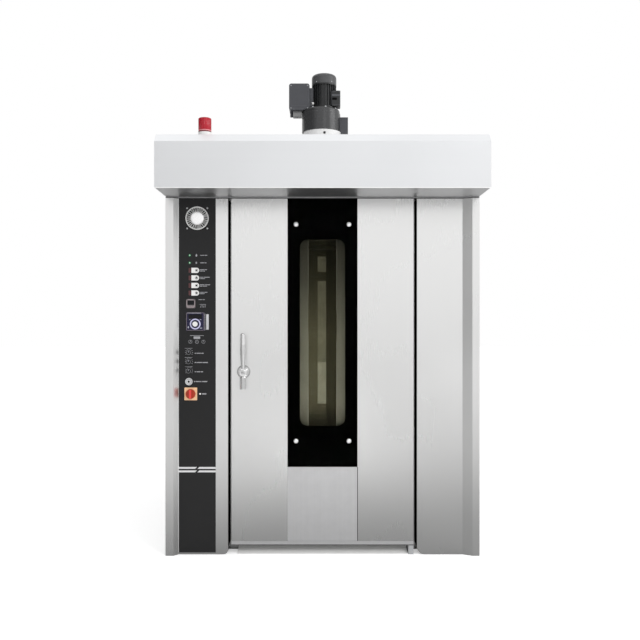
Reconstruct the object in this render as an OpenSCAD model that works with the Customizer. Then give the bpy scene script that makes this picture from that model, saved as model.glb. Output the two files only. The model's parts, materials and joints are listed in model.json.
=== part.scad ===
// Rotating rack oven, in millimetres.
// X runs to the right, Y to the back, Z up. The origin is on the floor, in the
// middle of the footprint. The door faces -Y.

/* [Body] */
// Width over the two outer posts
body_w = 1624; // [1480:1:1780]
// Depth from the door face to the back panel
body_d = 1800; // [1640:1:1980]
// Height of the canopy top above the floor
body_h = 2123; // [1915:1:2330]
// Thickness of the insulated wall panels
wall_t = 80; // [60:1:90]
// Thickness of the insulated floor
floor_t = 30; // [26:1:34]
// Step of the roof panel below the canopy top
roof_drop = 43; // [33:1:53]
// Distance between the seams of the side cassettes
seam_pitch = 560; // [400:10:620]
// Width of a cassette seam
seam_w = 6; // [3:1:10]
// Depth of a cassette seam
seam_depth = 3; // [1:0.5:6]

/* [Front frame] */
// Width of a pillar, from its post's outer edge to the door gap
pillar_w = 321; // [300:1:350]
// Depth of the pillars, from the door face to the frame plate
pillar_d = 98; // [94:1:110]
// How far the outer posts stand in front of the door face
post_proud = 25; // [10:1:40]
// Width of the left outer post
post_w_left = 41; // [30:1:50]
// Width of the right outer post
post_w_right = 37; // [30:1:50]
// Width of the left slope between post and face
slope_w_left = 23; // [15:1:30]
// Width of the right slope between post and face
slope_w_right = 47; // [30:1:60]
// Sheet thickness of the pillars
pillar_sheet = 6; // [4:0.5:8]
// Radius at the foot of the right pillar's inner edge
foot_r_right = 40; // [10:1:60]
// Radius at the foot of the left pillar's inner edge
foot_r_left = 25; // [10:1:40]
// Thickness of the door frame plate
frame_t = 12; // [8:1:16]
// How far the frame plate reaches past a pillar into the doorway
frame_lap = 48; // [44:1:60]
// Distance of the doorway's top edge below the top of the door
doorway_drop = 50; // [44:1:60]
// Front end of the threshold ramp, behind the door face
ramp_inset = 5; // [2:1:12]
// Thickness of the ramp's front edge
ramp_nose = 3; // [2:0.5:5]

/* [Canopy] */
// How far the canopy reaches in front of the door face
canopy_reach = 300; // [260:1:340]
// Height of the canopy's front
canopy_h = 265; // [240:1:290]
// Chamfer along the canopy's top front edge
canopy_chamfer = 42; // [30:1:54]
// Sheet thickness of the canopy
canopy_sheet = 3; // [2:0.5:4]
// Gap between the soffit and the tops of the door and pillar faces
top_gap = 8; // [7:0.5:12]
// Distance of the beacon from the canopy's left end
beacon_in = 230; // [100:1:400]
// Distance of the beacon behind the canopy's front
beacon_back = 100; // [60:1:200]
// Radius of the beacon's base
beacon_r = 33; // [27:0.5:38]
// Height of the beacon's base
beacon_base_h = 23; // [16:1:30]
// Height of the beacon's dome
beacon_dome_h = 69; // [54:1:84]

/* [Chamber] */
// Clear width of the air ducts beside the chamber
duct_w = 129; // [115:1:145]
// Clear depth of the heater space behind the rear baffle
plenum_d = 407; // [390:1:450]
// Height of the fan's room, between its shelf and the roof
plenum_h = 460; // [420:1:500]
// Sheet thickness of the chamber lining
lining_t = 3; // [2:0.5:5]
// Distance between two slots of an air wall
slot_pitch = 120; // [90:1:150]
// Height of an air slot
slot_h = 14; // [8:1:20]
// Length of an air slot
slot_l = 240; // [160:1:300]
// Width of an opening in the rear baffle
vent_w = 70; // [50:1:80]
// Height of an opening in the rear baffle
vent_h = 420; // [300:1:440]
// Width of the centre strip on the rear baffle
strip_w = 58; // [40:1:80]
// Thickness of the centre strip
strip_t = 12; // [8:1:16]
// Radius of the fan's inlet ring
inlet_r = 150; // [130:1:165]
// Radius of the circulating fan
fan_r = 180; // [170:1:190]
// Inner radius of the circulating fan's ring of blades
blade_root_r = 115; // [100:1:130]
// Number of the circulating fan's blades
blade_count = 10; // [6:1:14]
// Height of the circulating fan's blades
fan_h = 140; // [120:1:160]
// Radius of the circulating fan's shaft
fan_shaft_r = 14; // [12:0.5:16]
// Radius of a heater rod
heater_rod_r = 8; // [6:0.5:10]
// Distance between heater rods in a column
heater_pitch = 150; // [120:1:170]
// Height of the lowest heater rods above the chamber floor
heater_low = 120; // [100:1:150]
// Number of troughs in the steam cascade
trough_count = 8; // [4:1:9]
// Distance between the troughs
trough_pitch = 120; // [100:1:125]
// Length of a trough
trough_l = 300; // [200:1:400]
// Fall of a trough across the duct
trough_fall = 24; // [16:1:32]
// Height of a trough's lip
trough_lip = 18; // [12:1:24]
// Height of the lowest trough above the chamber floor
trough_low = 200; // [150:1:260]

/* [Rack] */
// Clearance between the rack and each side of the doorway
rack_gap = 15; // [10:1:20]
// Depth over the rack's posts
rack_d = 620; // [560:1:640]
// Distance of the rack's top frame below the doorway's top edge
rack_drop = 100; // [95:1:130]
// Width of a square rack tube
tube_w = 25; // [20:1:28]
// Distance between two tray levels
tray_spacing = 90; // [75:1:110]
// Height of the first tray level above the floor
first_tray_z = 230; // [215:1:250]
// Inward reach of a tray rail
rail_reach = 20; // [15:1:25]
// Upright leg of a tray rail
rail_leg = 25; // [18:1:30]
// Thickness of a tray rail
rail_t = 2; // [1.5:0.5:3]
// Distance of the lifting rails from the centre line
ear_x = 180; // [150:1:200]
// Height of the lifting rails above the rack's top frame
ear_rise = 80; // [70:1:84]
// Width of a lifting rail's flange
ear_flange = 30; // [24:1:40]
// Half the length of a hook along the rack
hook_l = 150; // [120:1:180]
// Thickness of a hook and of its lip
hook_t = 6; // [5:0.5:8]
// Distance of the hanger's beam below the roof
beam_drop = 70; // [60:1:80]
// Half the depth of the hanger's beam
beam_half = 40; // [34:1:50]
// Radius of a castor wheel
wheel_r = 50; // [46:1:54]
// Width of a castor wheel
wheel_w = 32; // [28:1:36]
// How high the hung rack's wheels clear the chamber floor
wheel_lift = 10; // [6:0.5:12]
// Offset of the swivel castors' wheels behind their kingpins
trail = 30; // [20:1:34]
// Radius of the castor axles
axle_r = 6; // [5:0.5:8]
// Half the width of a castor's mounting plate
mount_half = 38; // [34:1:42]
// Radius of the rack's drive shaft
shaft_r = 20; // [16:0.5:24]

/* [Drive] */
// Radius of the drive pedestal
pedestal_r = 115; // [105:1:120]
// Height of the drive pedestal above the roof
pedestal_h = 280; // [250:1:310]
// Radius of the gearbox
gearbox_r = 117; // [106:1:124]
// Height of the gearbox
gearbox_h = 136; // [122:1:150]
// Offset of the gearbox from the rack's axis, to the left
gearbox_dx = 6; // [0:1:10]
// Offset of the motor from the rack's axis, to the right
motor_dx = 12; // [0:1:20]
// Radius over the motor's cooling fins
motor_r = 74; // [66:1:82]
// Height of the finned part of the motor
motor_h = 146; // [130:1:162]
// Number of cooling fins round the motor
motor_fins = 28; // [20:1:32]
// Height of the motor's fan cowl
cowl_h = 74; // [66:1:90]
// Width of the inverter box
inverter_w = 124; // [110:1:138]
// Height of the inverter box
inverter_h = 160; // [144:1:176]
// Depth of the inverter box
inverter_d = 110; // [90:1:130]
// Radius over the cooling fins of the fan's motor
fan_motor_r = 86; // [76:1:96]
// Height of the finned part of the fan's motor
fan_motor_h = 200; // [170:1:230]
// Height of the cowl of the fan's motor
fan_cowl_h = 66; // [62:1:80]

/* [Roof connections] */
// Radius of the flue collar
flue_r = 75; // [60:0.5:90]
// Height of the flue collar above the roof
flue_h = 84; // [60:1:100]
// Distance of the flue's centre from the left air wall
flue_in = 150; // [110:1:200]
// Radius of the water inlet pipe
water_r = 10.65; // [8:0.05:13]
// Height of the water pipe above the roof
water_h = 80; // [60:1:100]

/* [Door] */
// Gap between the door and a pillar
door_gap = 17.5; // [16:0.5:20]
// Thickness of the door
door_t = 80; // [74:1:86]
// Height of the door's lower edge above the floor
door_z0 = 47; // [43:1:52]
// Distance of the hinge pins from the door's edge
pin_inset = 12; // [11:0.5:13]
// Distance of the hinge pins behind the door face
pin_depth = 15; // [13:0.5:17]
// Radius of the hinge pins
pin_r = 6; // [5:0.5:7]
// Width of the centre glass and of the panel below it
centre_w = 364; // [340:1:400]
// Lower edge of the centre glass above the floor
glass_z0 = 455; // [410:1:500]
// Depth of the panels set into the door face
inset_t = 6; // [5:0.5:8]
// Thickness of the printed layer behind the glass
mask_t = 1; // [0.5:0.25:1.5]
// Width of the clear window
window_w = 236; // [210:1:250]
// Lower edge of the clear window above the centre glass's lower edge
window_low = 213; // [190:1:240]
// Distance of the clear window's top below the top of the door
window_drop = 212; // [190:1:235]
// Corner radius of the clear window
window_r = 42; // [30:1:55]
// Width of the opening in the door's back
inner_w = 150; // [130:1:170]
// Radius of the steel caps on the glass
cap_r = 12; // [9:0.5:14]
// Distance of the caps from the glass's side edges
cap_in = 44.5; // [36:0.5:50]
// Distance of the caps above and below the clear window
cap_off = 78; // [70:1:90]
// Height of the door's lower trim strip
trim_h = 19; // [14:1:24]
// Width of the door seal
seal_w = 12; // [10:1:13]
// Gap between the seal and the frame plate
seal_gap = 0.3; // [0.2:0.05:0.5]

/* [Handle] */
// Distance of the handle from the door's left edge
handle_in = 63.5; // [56:0.5:80]
// Height of the handle's hub above the floor
handle_z = 950; // [850:1:1050]
// Radius of the handle's rose
rose_r = 34; // [28:1:38]
// Radius of the handle's hub
hub_r = 21; // [18:0.5:24]
// Length of the lever above the hub's centre
lever_up = 203; // [180:1:224]
// Length of the stub below the hub's centre
lever_down = 89; // [70:1:100]
// Radius of the lever at its thick end
lever_r = 14.5; // [12:0.5:16]
// Radius of the lever at its neck
neck_r = 9; // [8:0.5:11]
// Radius of the stub
stub_r = 16; // [13:0.5:18]
// Distance of the lever's axis in front of the door face
lever_off = 42; // [38:1:50]

/* [Control panel] */
// Width of the black panel
panel_w = 193; // [180:1:212]
// Thickness of the black panel
panel_t = 6; // [5:0.5:8]
// Distance of the lamp column from the panel's left edge
lamp_in = 58; // [56:0.5:59]
// Distance of the key and controller column from the panel's left edge
key_in = 87; // [86:0.5:90]
// Distance of the timer and main switch column from the panel's left edge
timer_in = 63.5; // [60:0.5:68]
// Distance of the knob column from the panel's left edge
knob_in = 54; // [50:0.5:60]
// Height of the seam between the upper and lower panels
panel_seam = 441; // [400:1:480]
// Lower edge of the lower panel above the floor
panel_z0 = 10; // [6:1:20]
// Height of a silver stripe
stripe_h = 10; // [6:1:12]
// Distance between the two stripes' centres
stripe_pitch = 18; // [16:1:24]
// Width of the slanted break in each stripe
stripe_break = 12; // [6:1:20]
// Distance of the cooling fan's centre below the panel's top
vent_drop = 102; // [94:1:112]
// Radius of the fan guard
guard_r = 60; // [58:0.5:62]
// Radius of the guard's centre disc
guard_disc_r = 33; // [28:0.5:36]
// Number of spokes in the fan guard
guard_spokes = 28; // [20:1:32]
// Width of the cooling fan's frame
vent_frame_w = 119; // [116:1:124]
// Depth of the cooling fan's frame
vent_frame_d = 38; // [34:1:42]
// Distance of the top key below the cooling fan's centre
key_drop = 271; // [245:1:298]
// Distance between the switch rows
row_pitch = 39.2; // [36:0.1:43]
// Width of a key
key_w = 40; // [36:0.5:42]
// Height of a key
key_h = 27; // [24:0.5:29]
// Travel of a key
key_travel = 3; // [2:0.5:4]
// Distance between the lowest key and the timer
timer_gap = 17.9; // [15:0.1:24]
// Width of the timer's bezel
timer_w = 48; // [44:1:52]
// Distance between the timer and the controller
controller_gap = 21; // [18:1:26]
// Width of the controller's bezel
controller_w = 96; // [90:1:104]
// How far an instrument's bezel stands in front of the panel
bezel_t = 4; // [3:0.5:5]
// Radius of the controller's dial
dial_r = 13; // [11:0.5:15]
// Distance of the top knob's centre below the controller
knob_drop = 113; // [100:1:125]
// Distance between the rotary knobs
knob_pitch = 48; // [44:1:53]
// Radius of a rotary knob
knob_r = 12; // [10:0.5:14]
// Distance of the push button below the lowest knob
button_drop = 55; // [50:1:61]
// Radius of the push button's bezel
bezel_r = 19; // [17:0.5:20]
// Distance between the push button and the main switch's plate
main_gap = 12; // [8:1:20]
// Width of the main switch's plate
main_w = 66; // [60:1:72]
// Radius of the main switch's knob
main_r = 25; // [22:0.5:27]

/* [Fits] */
// Radial clearance of turning and sliding fits
run_fit = 0.05; // [0.03:0.01:0.08]
// Gap where two pieces lie close without touching
seat_gap = 0.3; // [0.2:0.05:0.4]
// Clearance round a piece that passes through a panel
hole_gap = 0.4; // [0.3:0.05:0.8]

/* [Hidden] */
$fn = 64;

// Main planes of the body
face_y = (canopy_reach - body_d) / 2;
hood_y = face_y - canopy_reach;
back_y = face_y + body_d;
frame_y0 = face_y + pillar_d;
chamber_y0 = frame_y0 + frame_t;
back_y0 = back_y - wall_t;
chamber_y1 = back_y0 - plenum_d - lining_t;
chamber_d = chamber_y1 - chamber_y0;
outer_x = body_w / 2;
wall_x = outer_x - wall_t;
pillar_x = outer_x - pillar_w;
doorway_x = pillar_x - frame_lap;
duct_x = wall_x - duct_w;
chamber_x = duct_x - lining_t;
roof_z1 = body_h - roof_drop;
roof_z0 = roof_z1 - wall_t;
hood_z0 = body_h - canopy_h;
face_top = hood_z0 - top_gap;
doorway_top = face_top - doorway_drop;
shelf_z = roof_z0 - plenum_h;
// Axis of the rack's drive, axis of the circulation fan and places of the roof connections
axis_y = chamber_y0 + chamber_d / 2;
fan_y = (chamber_y1 + lining_t + back_y0) / 2;
flue_x = chamber_x - flue_in;
water_x = (wall_x + duct_x) / 2;
water_y = axis_y + chamber_d / 4;
shaft_hole_r = shaft_r + 6;
fan_hole_r = fan_shaft_r + 6;
ring_h = 26;

// Black panel and its instruments, from the top down
panel_x0 = post_w_left + slope_w_left - outer_x;
panel_x1 = panel_x0 + panel_w;
panel_back = face_y + panel_t;
vent_x = (panel_x0 + panel_x1) / 2;
lamp_x = panel_x0 + lamp_in;
key_x = panel_x0 + key_in;
timer_x = panel_x0 + timer_in;
knob_x = panel_x0 + knob_in;
vent_z = face_top - vent_drop;
key_z = vent_z - key_drop;
lamp_z = key_z + 2 * row_pitch;
timer_z = key_z - 3 * row_pitch - key_h / 2 - timer_gap - timer_w / 2;
controller_z = timer_z - timer_w / 2 - controller_gap - controller_w / 2;
knob_z = controller_z - controller_w / 2 - knob_drop;
button_z = knob_z - 2 * knob_pitch - button_drop;
main_z = button_z - bezel_r - main_gap - main_w / 2;
lamp_r = 5;
white_lamp_in = 25;
key_lamp_w = 10;
key_lamp_h = 22;
key_lens_r = 8;
key_front = 4;
block_d = 40;
stem_r = 4;
stem_l = 12;
spindle_r = 3;
stop_gap = 1;
well_margin = 13;
well_top = 20;
module_d = 56;
dial_drop = 13;
main_body_w = 40;

// Door
door_x = pillar_x - door_gap;
door_back = face_y + door_t;
door_top = face_top;
pin_x = door_x - pin_inset;
pin_y = face_y + pin_depth;
pin_grip = 22;
inset_z0 = door_z0 + 4 + trim_h;
trim_t = 3;
pane_t = 4;
window_z0 = glass_z0 + window_low;
window_z1 = door_top - window_drop;
window_z = (window_z0 + window_z1) / 2;
window_h = window_z1 - window_z0;
cap_x = centre_w / 2 - cap_in;
seal_x = doorway_x + 2;
handle_x = handle_in - door_x;
lever_y = face_y - lever_off;
rose_t = 6;
handle_spindle_r = 8;
handle_spindle_l = 50;

// Rack
rack_x = doorway_x - rack_gap;
rack_top = doorway_top - rack_drop;
rack_y0 = axis_y - rack_d / 2;
rack_y1 = axis_y + rack_d / 2;
wheel_z = floor_t + wheel_lift + wheel_r;
crown_z = wheel_z + wheel_r + 5;
crown_t = 5;
mount_t = 5;
rack_z0 = crown_z + crown_t + seat_gap + mount_t;
castor_x = rack_x - mount_half;
castor_y = rack_d / 2 - mount_half - 2;
kingpin_r = 8;
cheek_t = 4;
cheek_half = 28;
ear_z = rack_top + ear_rise;
ear_t = 3;
beam_z = roof_z0 - beam_drop;
beam_t = 12;
levels = 1 + floor((rack_top - tube_w - rail_leg - first_tray_z) / tray_spacing);

// Drive
pedestal_top = roof_z1 + pedestal_h;
gear_bore = 60;
fin_l = 9;
fin_t = 3;

// A block between two corners
module block(a, b) {
    translate(a) cube([for (i = [0:2]) b[i] - a[i]]);
}

// A flat outline, drawn in X and Z, thickened from y0 to y1
module along_y(y0, y1) {
    translate([0, y1, 0]) rotate([90, 0, 0]) linear_extrude(y1 - y0) children();
}

// A flat outline, drawn in Y and Z, thickened from x0 to x1
module along_x(x0, x1) {
    translate([x0, 0, 0]) rotate([90, 0, 90]) linear_extrude(x1 - x0) children();
}

// A round bar along Y
module bar_y(r, y0, y1, x, z) {
    translate([x, y1, z]) rotate([90, 0, 0]) cylinder(r = r, h = y1 - y0);
}

// A rectangle with rounded corners about a centre
module rounded(w, h, r) {
    square([w - 2 * r, h], center = true);
    square([w, h - 2 * r], center = true);
    for (x = [-1, 1], y = [-1, 1]) {
        translate([x * (w / 2 - r), y * (h / 2 - r)]) circle(r = r);
    }
}

// A rounded rectangle facing the front, about a point in X and Z
module plate(x, z, w, h, r, y0, y1) {
    along_y(y0, y1) translate([x, z]) rounded(w, h, r);
}

// Points of a quarter arc, from angle a to angle b
function arc(x, y, r, a, b, n = 8) = [
    for (i = [0:n]) let (t = a + (b - a) * i / n) [x + r * cos(t), y + r * sin(t)]
];

// ---------- body ----------

module floor_pan() {
    color("silver") {
        block([-wall_x, chamber_y0, 0], [wall_x, back_y0, floor_t]);
        along_x(-doorway_x, doorway_x) polygon([
            [face_y + ramp_inset, 0], [frame_y0, 0], [frame_y0, floor_t],
            [face_y + ramp_inset, ramp_nose]
        ]);
    }
}

module side_wall() {
    difference() {
        block([wall_x, chamber_y0, 0], [outer_x, back_y, roof_z0]);
        for (y = [chamber_y0 + seam_pitch / 2:seam_pitch:back_y - seam_w]) {
            block([outer_x - seam_depth, y, -1], [outer_x + 1, y + seam_w, roof_z0 + 1]);
        }
    }
}

module right_side_wall() {
    color("gainsboro") side_wall();
}

module left_side_wall() {
    color("gainsboro") mirror([1, 0, 0]) side_wall();
}

module back_wall() {
    color("gainsboro") difference() {
        block([-wall_x, back_y0, 0], [wall_x, back_y, roof_z0]);
        for (x = [-1, 1]) {
            translate([x * seam_pitch / 2, 0, 0]) block(
                [-seam_w / 2, back_y - seam_depth, -1],
                [seam_w / 2, back_y + 1, roof_z0 + 1]
            );
        }
    }
}

module roof_panel() {
    color("silver") difference() {
        union() {
            block([-outer_x, frame_y0, roof_z0], [outer_x, back_y, roof_z1]);
            block([-outer_x, face_y, hood_z0], [outer_x, frame_y0, roof_z1]);
        }
        translate([0, axis_y, roof_z0 - 1]) cylinder(r = shaft_hole_r, h = wall_t + 2);
        translate([0, fan_y, roof_z0 - 1]) cylinder(r = fan_hole_r, h = wall_t + 2);
        translate([-flue_x, fan_y, roof_z0 - 1]) cylinder(r = flue_r - lining_t, h = wall_t + 2);
        translate([-water_x, water_y, roof_z0 - 1]) cylinder(r = water_r + seat_gap, h = wall_t + 2);
    }
}

module door_frame() {
    color("lightgray") along_y(frame_y0, chamber_y0) difference() {
        translate([-outer_x, 0]) square([body_w, roof_z0]);
        translate([-doorway_x, floor_t]) square([2 * doorway_x, doorway_top - floor_t]);
    }
}

// A pillar in plan, its inner edge at x = pillar_x, with its post on the outside
module pillar_plan(post_w, slope_w) {
    polygon([
        [pillar_x, frame_y0], [pillar_x, face_y], [outer_x - post_w - slope_w, face_y],
        [outer_x - post_w, face_y - post_proud], [outer_x, face_y - post_proud],
        [outer_x, frame_y0]
    ]);
}

module pillar(post_w, slope_w, foot_r) {
    difference() {
        union() {
            linear_extrude(face_top) pillar_plan(post_w, slope_w);
            block(
                [pillar_x + 10, face_y + 15, face_top - 1],
                [outer_x - 10, frame_y0, hood_z0]
            );
        }
        along_y(face_y - post_proud - 1, frame_y0 + 1) difference() {
            translate([pillar_x - 1, -1]) square(foot_r + 1);
            translate([pillar_x + foot_r, foot_r]) circle(r = foot_r);
        }
        block(
            [pillar_x + pillar_sheet, panel_back + pillar_sheet, foot_r],
            [outer_x - pillar_sheet, frame_y0 + 1, face_top - well_top]
        );
    }
}

module right_pillar() {
    color("gainsboro") pillar(post_w_right, slope_w_right, foot_r_right);
}

module left_pillar() {
    color("gainsboro") difference() {
        mirror([1, 0, 0]) pillar(post_w_left, slope_w_left, foot_r_left);
        block([panel_x0, face_y - 1, panel_z0], [panel_x1, panel_back, face_top + 1]);
        block(
            [panel_x0 + well_margin, face_y, main_z - main_w],
            [panel_x1 - well_margin, panel_back + pillar_sheet + 1, face_top - well_top]
        );
    }
}

module door_pivots() {
    color("dimgray") {
        block([doorway_x + 4, face_y + 2, 0], [door_x, frame_y0, door_z0 - seat_gap]);
        translate([pin_x, pin_y, door_z0 - 1]) cylinder(r = pin_r, h = pin_grip + 1);
        translate([pin_x, pin_y, door_top - pin_grip])
            cylinder(r = pin_r, h = hood_z0 - door_top + pin_grip);
        translate([pin_x, pin_y, door_top + seat_gap])
            cylinder(r = 2 * pin_r, h = hood_z0 - door_top - seat_gap);
    }
}

// ---------- chamber ----------

module air_wall() {
    slot_margin = 150;
    slot_rows = 1 + floor((roof_z0 - floor_t - 2 * slot_margin) / slot_pitch);
    slot_z0 = (floor_t + roof_z0 - (slot_rows - 1) * slot_pitch) / 2;
    along_x(chamber_x, duct_x) difference() {
        translate([chamber_y0, floor_t]) square([chamber_d, roof_z0 - floor_t]);
        for (k = [-1:1], row = [0:slot_rows - 1]) {
            translate([axis_y + k * chamber_d / 3, slot_z0 + row * slot_pitch])
                square([slot_l, slot_h], center = true);
        }
    }
}

module air_walls() {
    color("silver") {
        air_wall();
        mirror([1, 0, 0]) air_wall();
    }
}

module rear_baffle() {
    vent_rows = floor((shelf_z - floor_t) / (vent_h * 1.1));
    vent_low = (shelf_z - floor_t - vent_rows * vent_h * 1.1) / 2 + floor_t + vent_h * 0.05;
    color("darkgray") {
        difference() {
            block([-duct_x, chamber_y1, floor_t], [duct_x, chamber_y1 + lining_t, roof_z0]);
            for (x = [-3, -2, 2, 3], row = [0:vent_rows - 1]) {
                translate([x * 1.6 * vent_w, 0, vent_low + row * vent_h * 1.1]) block(
                    [-vent_w / 2, chamber_y1 - 1, 0],
                    [vent_w / 2, chamber_y1 + lining_t + 1, vent_h]
                );
            }
        }
        block([-strip_w / 2, chamber_y1 - strip_t, floor_t], [strip_w / 2, chamber_y1, roof_z0]);
        translate([0, 0, shelf_z]) difference() {
            block([-duct_x, chamber_y1 + lining_t, 0], [duct_x, back_y0, lining_t]);
            translate([0, fan_y, -1]) cylinder(r = inlet_r - lining_t, h = lining_t + 2);
        }
        translate([0, fan_y, shelf_z + lining_t]) rotate_extrude() polygon([
            [inlet_r - lining_t, 0], [inlet_r + 12, 0], [inlet_r, 8], [inlet_r, ring_h],
            [inlet_r - lining_t, ring_h]
        ]);
    }
}

module heater_bank() {
    sheet_x = chamber_x - 40;
    rod_end = 15;
    bank_y0 = chamber_y1 + 60;
    bank_y1 = back_y0 - 60;
    rod_z0 = floor_t + heater_low;
    heater_rows = 1 + floor((shelf_z - heater_low - rod_z0) / heater_pitch);
    top_z = rod_z0 + (heater_rows - 1) * heater_pitch + heater_low / 2;
    color("dimgray") union() {
        for (x = [-1, 1]) {
            translate([x * sheet_x, 0, 0])
                block([-lining_t / 2, bank_y0, floor_t], [lining_t / 2, bank_y1, top_z]);
        }
        for (k = [1:3], row = [0:heater_rows - 1]) {
            translate([0, bank_y0 + k * (bank_y1 - bank_y0) / 4, rod_z0 + row * heater_pitch])
                rotate([0, 90, 0])
                    cylinder(r = heater_rod_r, h = 2 * (sheet_x + rod_end), center = true);
        }
    }
}

module steam_generator() {
    cheek_t = lining_t;
    side_gap = 12;
    pipe_t = 2.65;
    pipe_step = 0.65;
    low_x = duct_x + side_gap;
    high_x = wall_x - side_gap;
    head_z = floor_t + trough_low + trough_count * trough_pitch;
    color("silver") mirror([1, 0, 0]) {
        union() {
            for (y = [-1, 1]) {
                translate([0, water_y + y * trough_l / 2, 0])
                    block([low_x, -cheek_t / 2, floor_t], [high_x, cheek_t / 2, head_z]);
            }
            for (i = [0:trough_count - 1]) {
                translate([0, water_y, floor_t + trough_low + i * trough_pitch])
                    along_y(-trough_l / 2, trough_l / 2) trough_section(low_x, high_x, i % 2 == 0);
            }
            difference() {
                block(
                    [low_x, water_y - trough_l / 2, head_z - cheek_t],
                    [high_x, water_y + trough_l / 2, head_z]
                );
                translate([water_x, water_y, head_z - cheek_t - 1])
                    cylinder(r = water_r - pipe_t, h = cheek_t + 2);
            }
        }
        translate([water_x, water_y, 0]) difference() {
            union() {
                translate([0, 0, head_z])
                    cylinder(r = water_r - pipe_step, h = roof_z1 + 1 - head_z);
                translate([0, 0, roof_z1]) cylinder(r = water_r, h = water_h);
            }
            translate([0, 0, head_z - 1])
                cylinder(r = water_r - pipe_t, h = roof_z1 + water_h - head_z + 2);
        }
    }
}

// A sloping tray with one raised lip
module trough_section(x0, x1, lip_left) {
    t = lining_t;
    z0 = lip_left ? 0 : trough_fall;
    z1 = trough_fall - z0;
    polygon([[x0, z0], [x1, z1], [x1, z1 + t], [x0, z0 + t]]);
    translate([lip_left ? x0 : x1 - t, 0]) square([t, trough_lip]);
}

module flue_collar() {
    flange_w = 25;
    flange_t = 4;
    color("silver") translate([-flue_x, fan_y, roof_z1]) difference() {
        union() {
            cylinder(r = flue_r + flange_w, h = flange_t);
            cylinder(r = flue_r, h = flue_h);
        }
        translate([0, 0, -1]) cylinder(r = flue_r - lining_t, h = flue_h + 2);
    }
}

// ---------- canopy ----------

module canopy_shell() {
    color("whitesmoke") difference() {
        along_x(-outer_x, outer_x) polygon([
            [hood_y, hood_z0], [face_y, hood_z0], [face_y, body_h],
            [hood_y + canopy_chamfer, body_h], [hood_y, body_h - canopy_chamfer]
        ]);
        along_x(canopy_sheet - outer_x, outer_x - canopy_sheet) polygon([
            [hood_y + canopy_sheet, hood_z0 - 1], [face_y - canopy_sheet, hood_z0 - 1],
            [face_y - canopy_sheet, body_h - canopy_sheet],
            [hood_y + canopy_sheet / 2 + canopy_chamfer, body_h - canopy_sheet],
            [hood_y + canopy_sheet, body_h - canopy_sheet / 2 - canopy_chamfer]
        ]);
    }
}

module canopy_soffit() {
    color("gray") block(
        [canopy_sheet + seat_gap - outer_x, hood_y + canopy_sheet + seat_gap, hood_z0],
        [outer_x - canopy_sheet - seat_gap, face_y - canopy_sheet - seat_gap, hood_z0 + canopy_sheet]
    );
}

module beacon_base() {
    edge_r = 4;
    color("gainsboro") translate([beacon_in - outer_x, hood_y + beacon_back, body_h])
        rotate_extrude() polygon(concat(
            [[0, 0], [beacon_r, 0]],
            arc(beacon_r - edge_r, beacon_base_h - edge_r, edge_r, 0, 90),
            [[0, beacon_base_h]]
        ));
}

module beacon_dome() {
    dome_r = beacon_r - 2;
    round_r = 9;
    color("red") translate([beacon_in - outer_x, hood_y + beacon_back, body_h + beacon_base_h])
        rotate_extrude() polygon(concat(
            [[0, 0], [dome_r, 0]],
            arc(dome_r - 1 - round_r, beacon_dome_h - round_r, round_r, 0, 90, 12),
            [[0, beacon_dome_h]]
        ));
}

// ---------- control panel ----------

// The openings of the upper panel: their outlines, grown by a gap
module panel_openings(gap) {
    translate([vent_x, vent_z]) circle(r = guard_r - 5 + gap);
    for (z = [0, 1]) {
        translate([lamp_x, lamp_z - z * row_pitch]) circle(r = lamp_r + gap);
    }
    for (i = [0:3]) {
        translate([0, key_z - i * row_pitch]) {
            translate([lamp_x, 0]) square([key_lamp_w + 2 * gap, key_lamp_h + 2 * gap], center = true);
            key_outline(gap);
        }
    }
    translate([timer_x, timer_z]) square(timer_w - 4 + 2 * gap, center = true);
    translate([key_x, controller_z]) square(controller_w - 6 + 2 * gap, center = true);
    for (i = [0:2]) {
        translate([knob_x, knob_z - i * knob_pitch]) circle(r = spindle_r + 2);
    }
    translate([knob_x, button_z]) circle(r = bezel_r - 4);
    translate([timer_x, main_z]) square(main_body_w + 2 * gap, center = true);
    translate([key_x + white_lamp_in, main_z]) circle(r = lamp_r - 1 + gap);
}

// A key seen from the front: square on the left and round on the right
module key_outline(gap) {
    r = key_h / 2 + gap;
    translate([key_x - key_w / 2 - gap, -r]) square([key_w + 2 * gap - r, 2 * r]);
    translate([key_x + key_w / 2 + gap - r, 0]) circle(r = r);
}

module control_panels() {
    color([0.15, 0.15, 0.16]) {
        along_y(face_y, panel_back) difference() {
            translate([panel_x0 + seat_gap, panel_seam + seat_gap])
                square([panel_w - 2 * seat_gap, face_top - panel_seam - seat_gap]);
            panel_openings(hole_gap);
        }
        block(
            [panel_x0 + seat_gap, face_y, panel_z0],
            [panel_x1 - seat_gap, panel_back, panel_seam - seat_gap]
        );
    }
}

// Right half of a silver stripe about its centre, with its end cut at 45 degrees
module stripe_half() {
    half = panel_w / 2 - seat_gap;
    slant = stripe_h / 2;
    polygon([
        [stripe_break / 2 - slant, -slant], [half, -slant], [half, slant],
        [stripe_break / 2 + slant, slant]
    ]);
}

module panel_trims() {
    color("lightgray") {
        along_y(face_y - 1, face_y) for (k = [-1, 1]) {
            translate([vent_x, panel_seam + k * stripe_pitch / 2]) {
                stripe_half();
                rotate(180) stripe_half();
            }
        }
        difference() {
            bar_y(bezel_r, face_y - bezel_t - 2, face_y, knob_x, button_z);
            bar_y(bezel_r - 4, face_y - bezel_t - 3, face_y + 1, knob_x, button_z);
        }
    }
}

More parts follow.
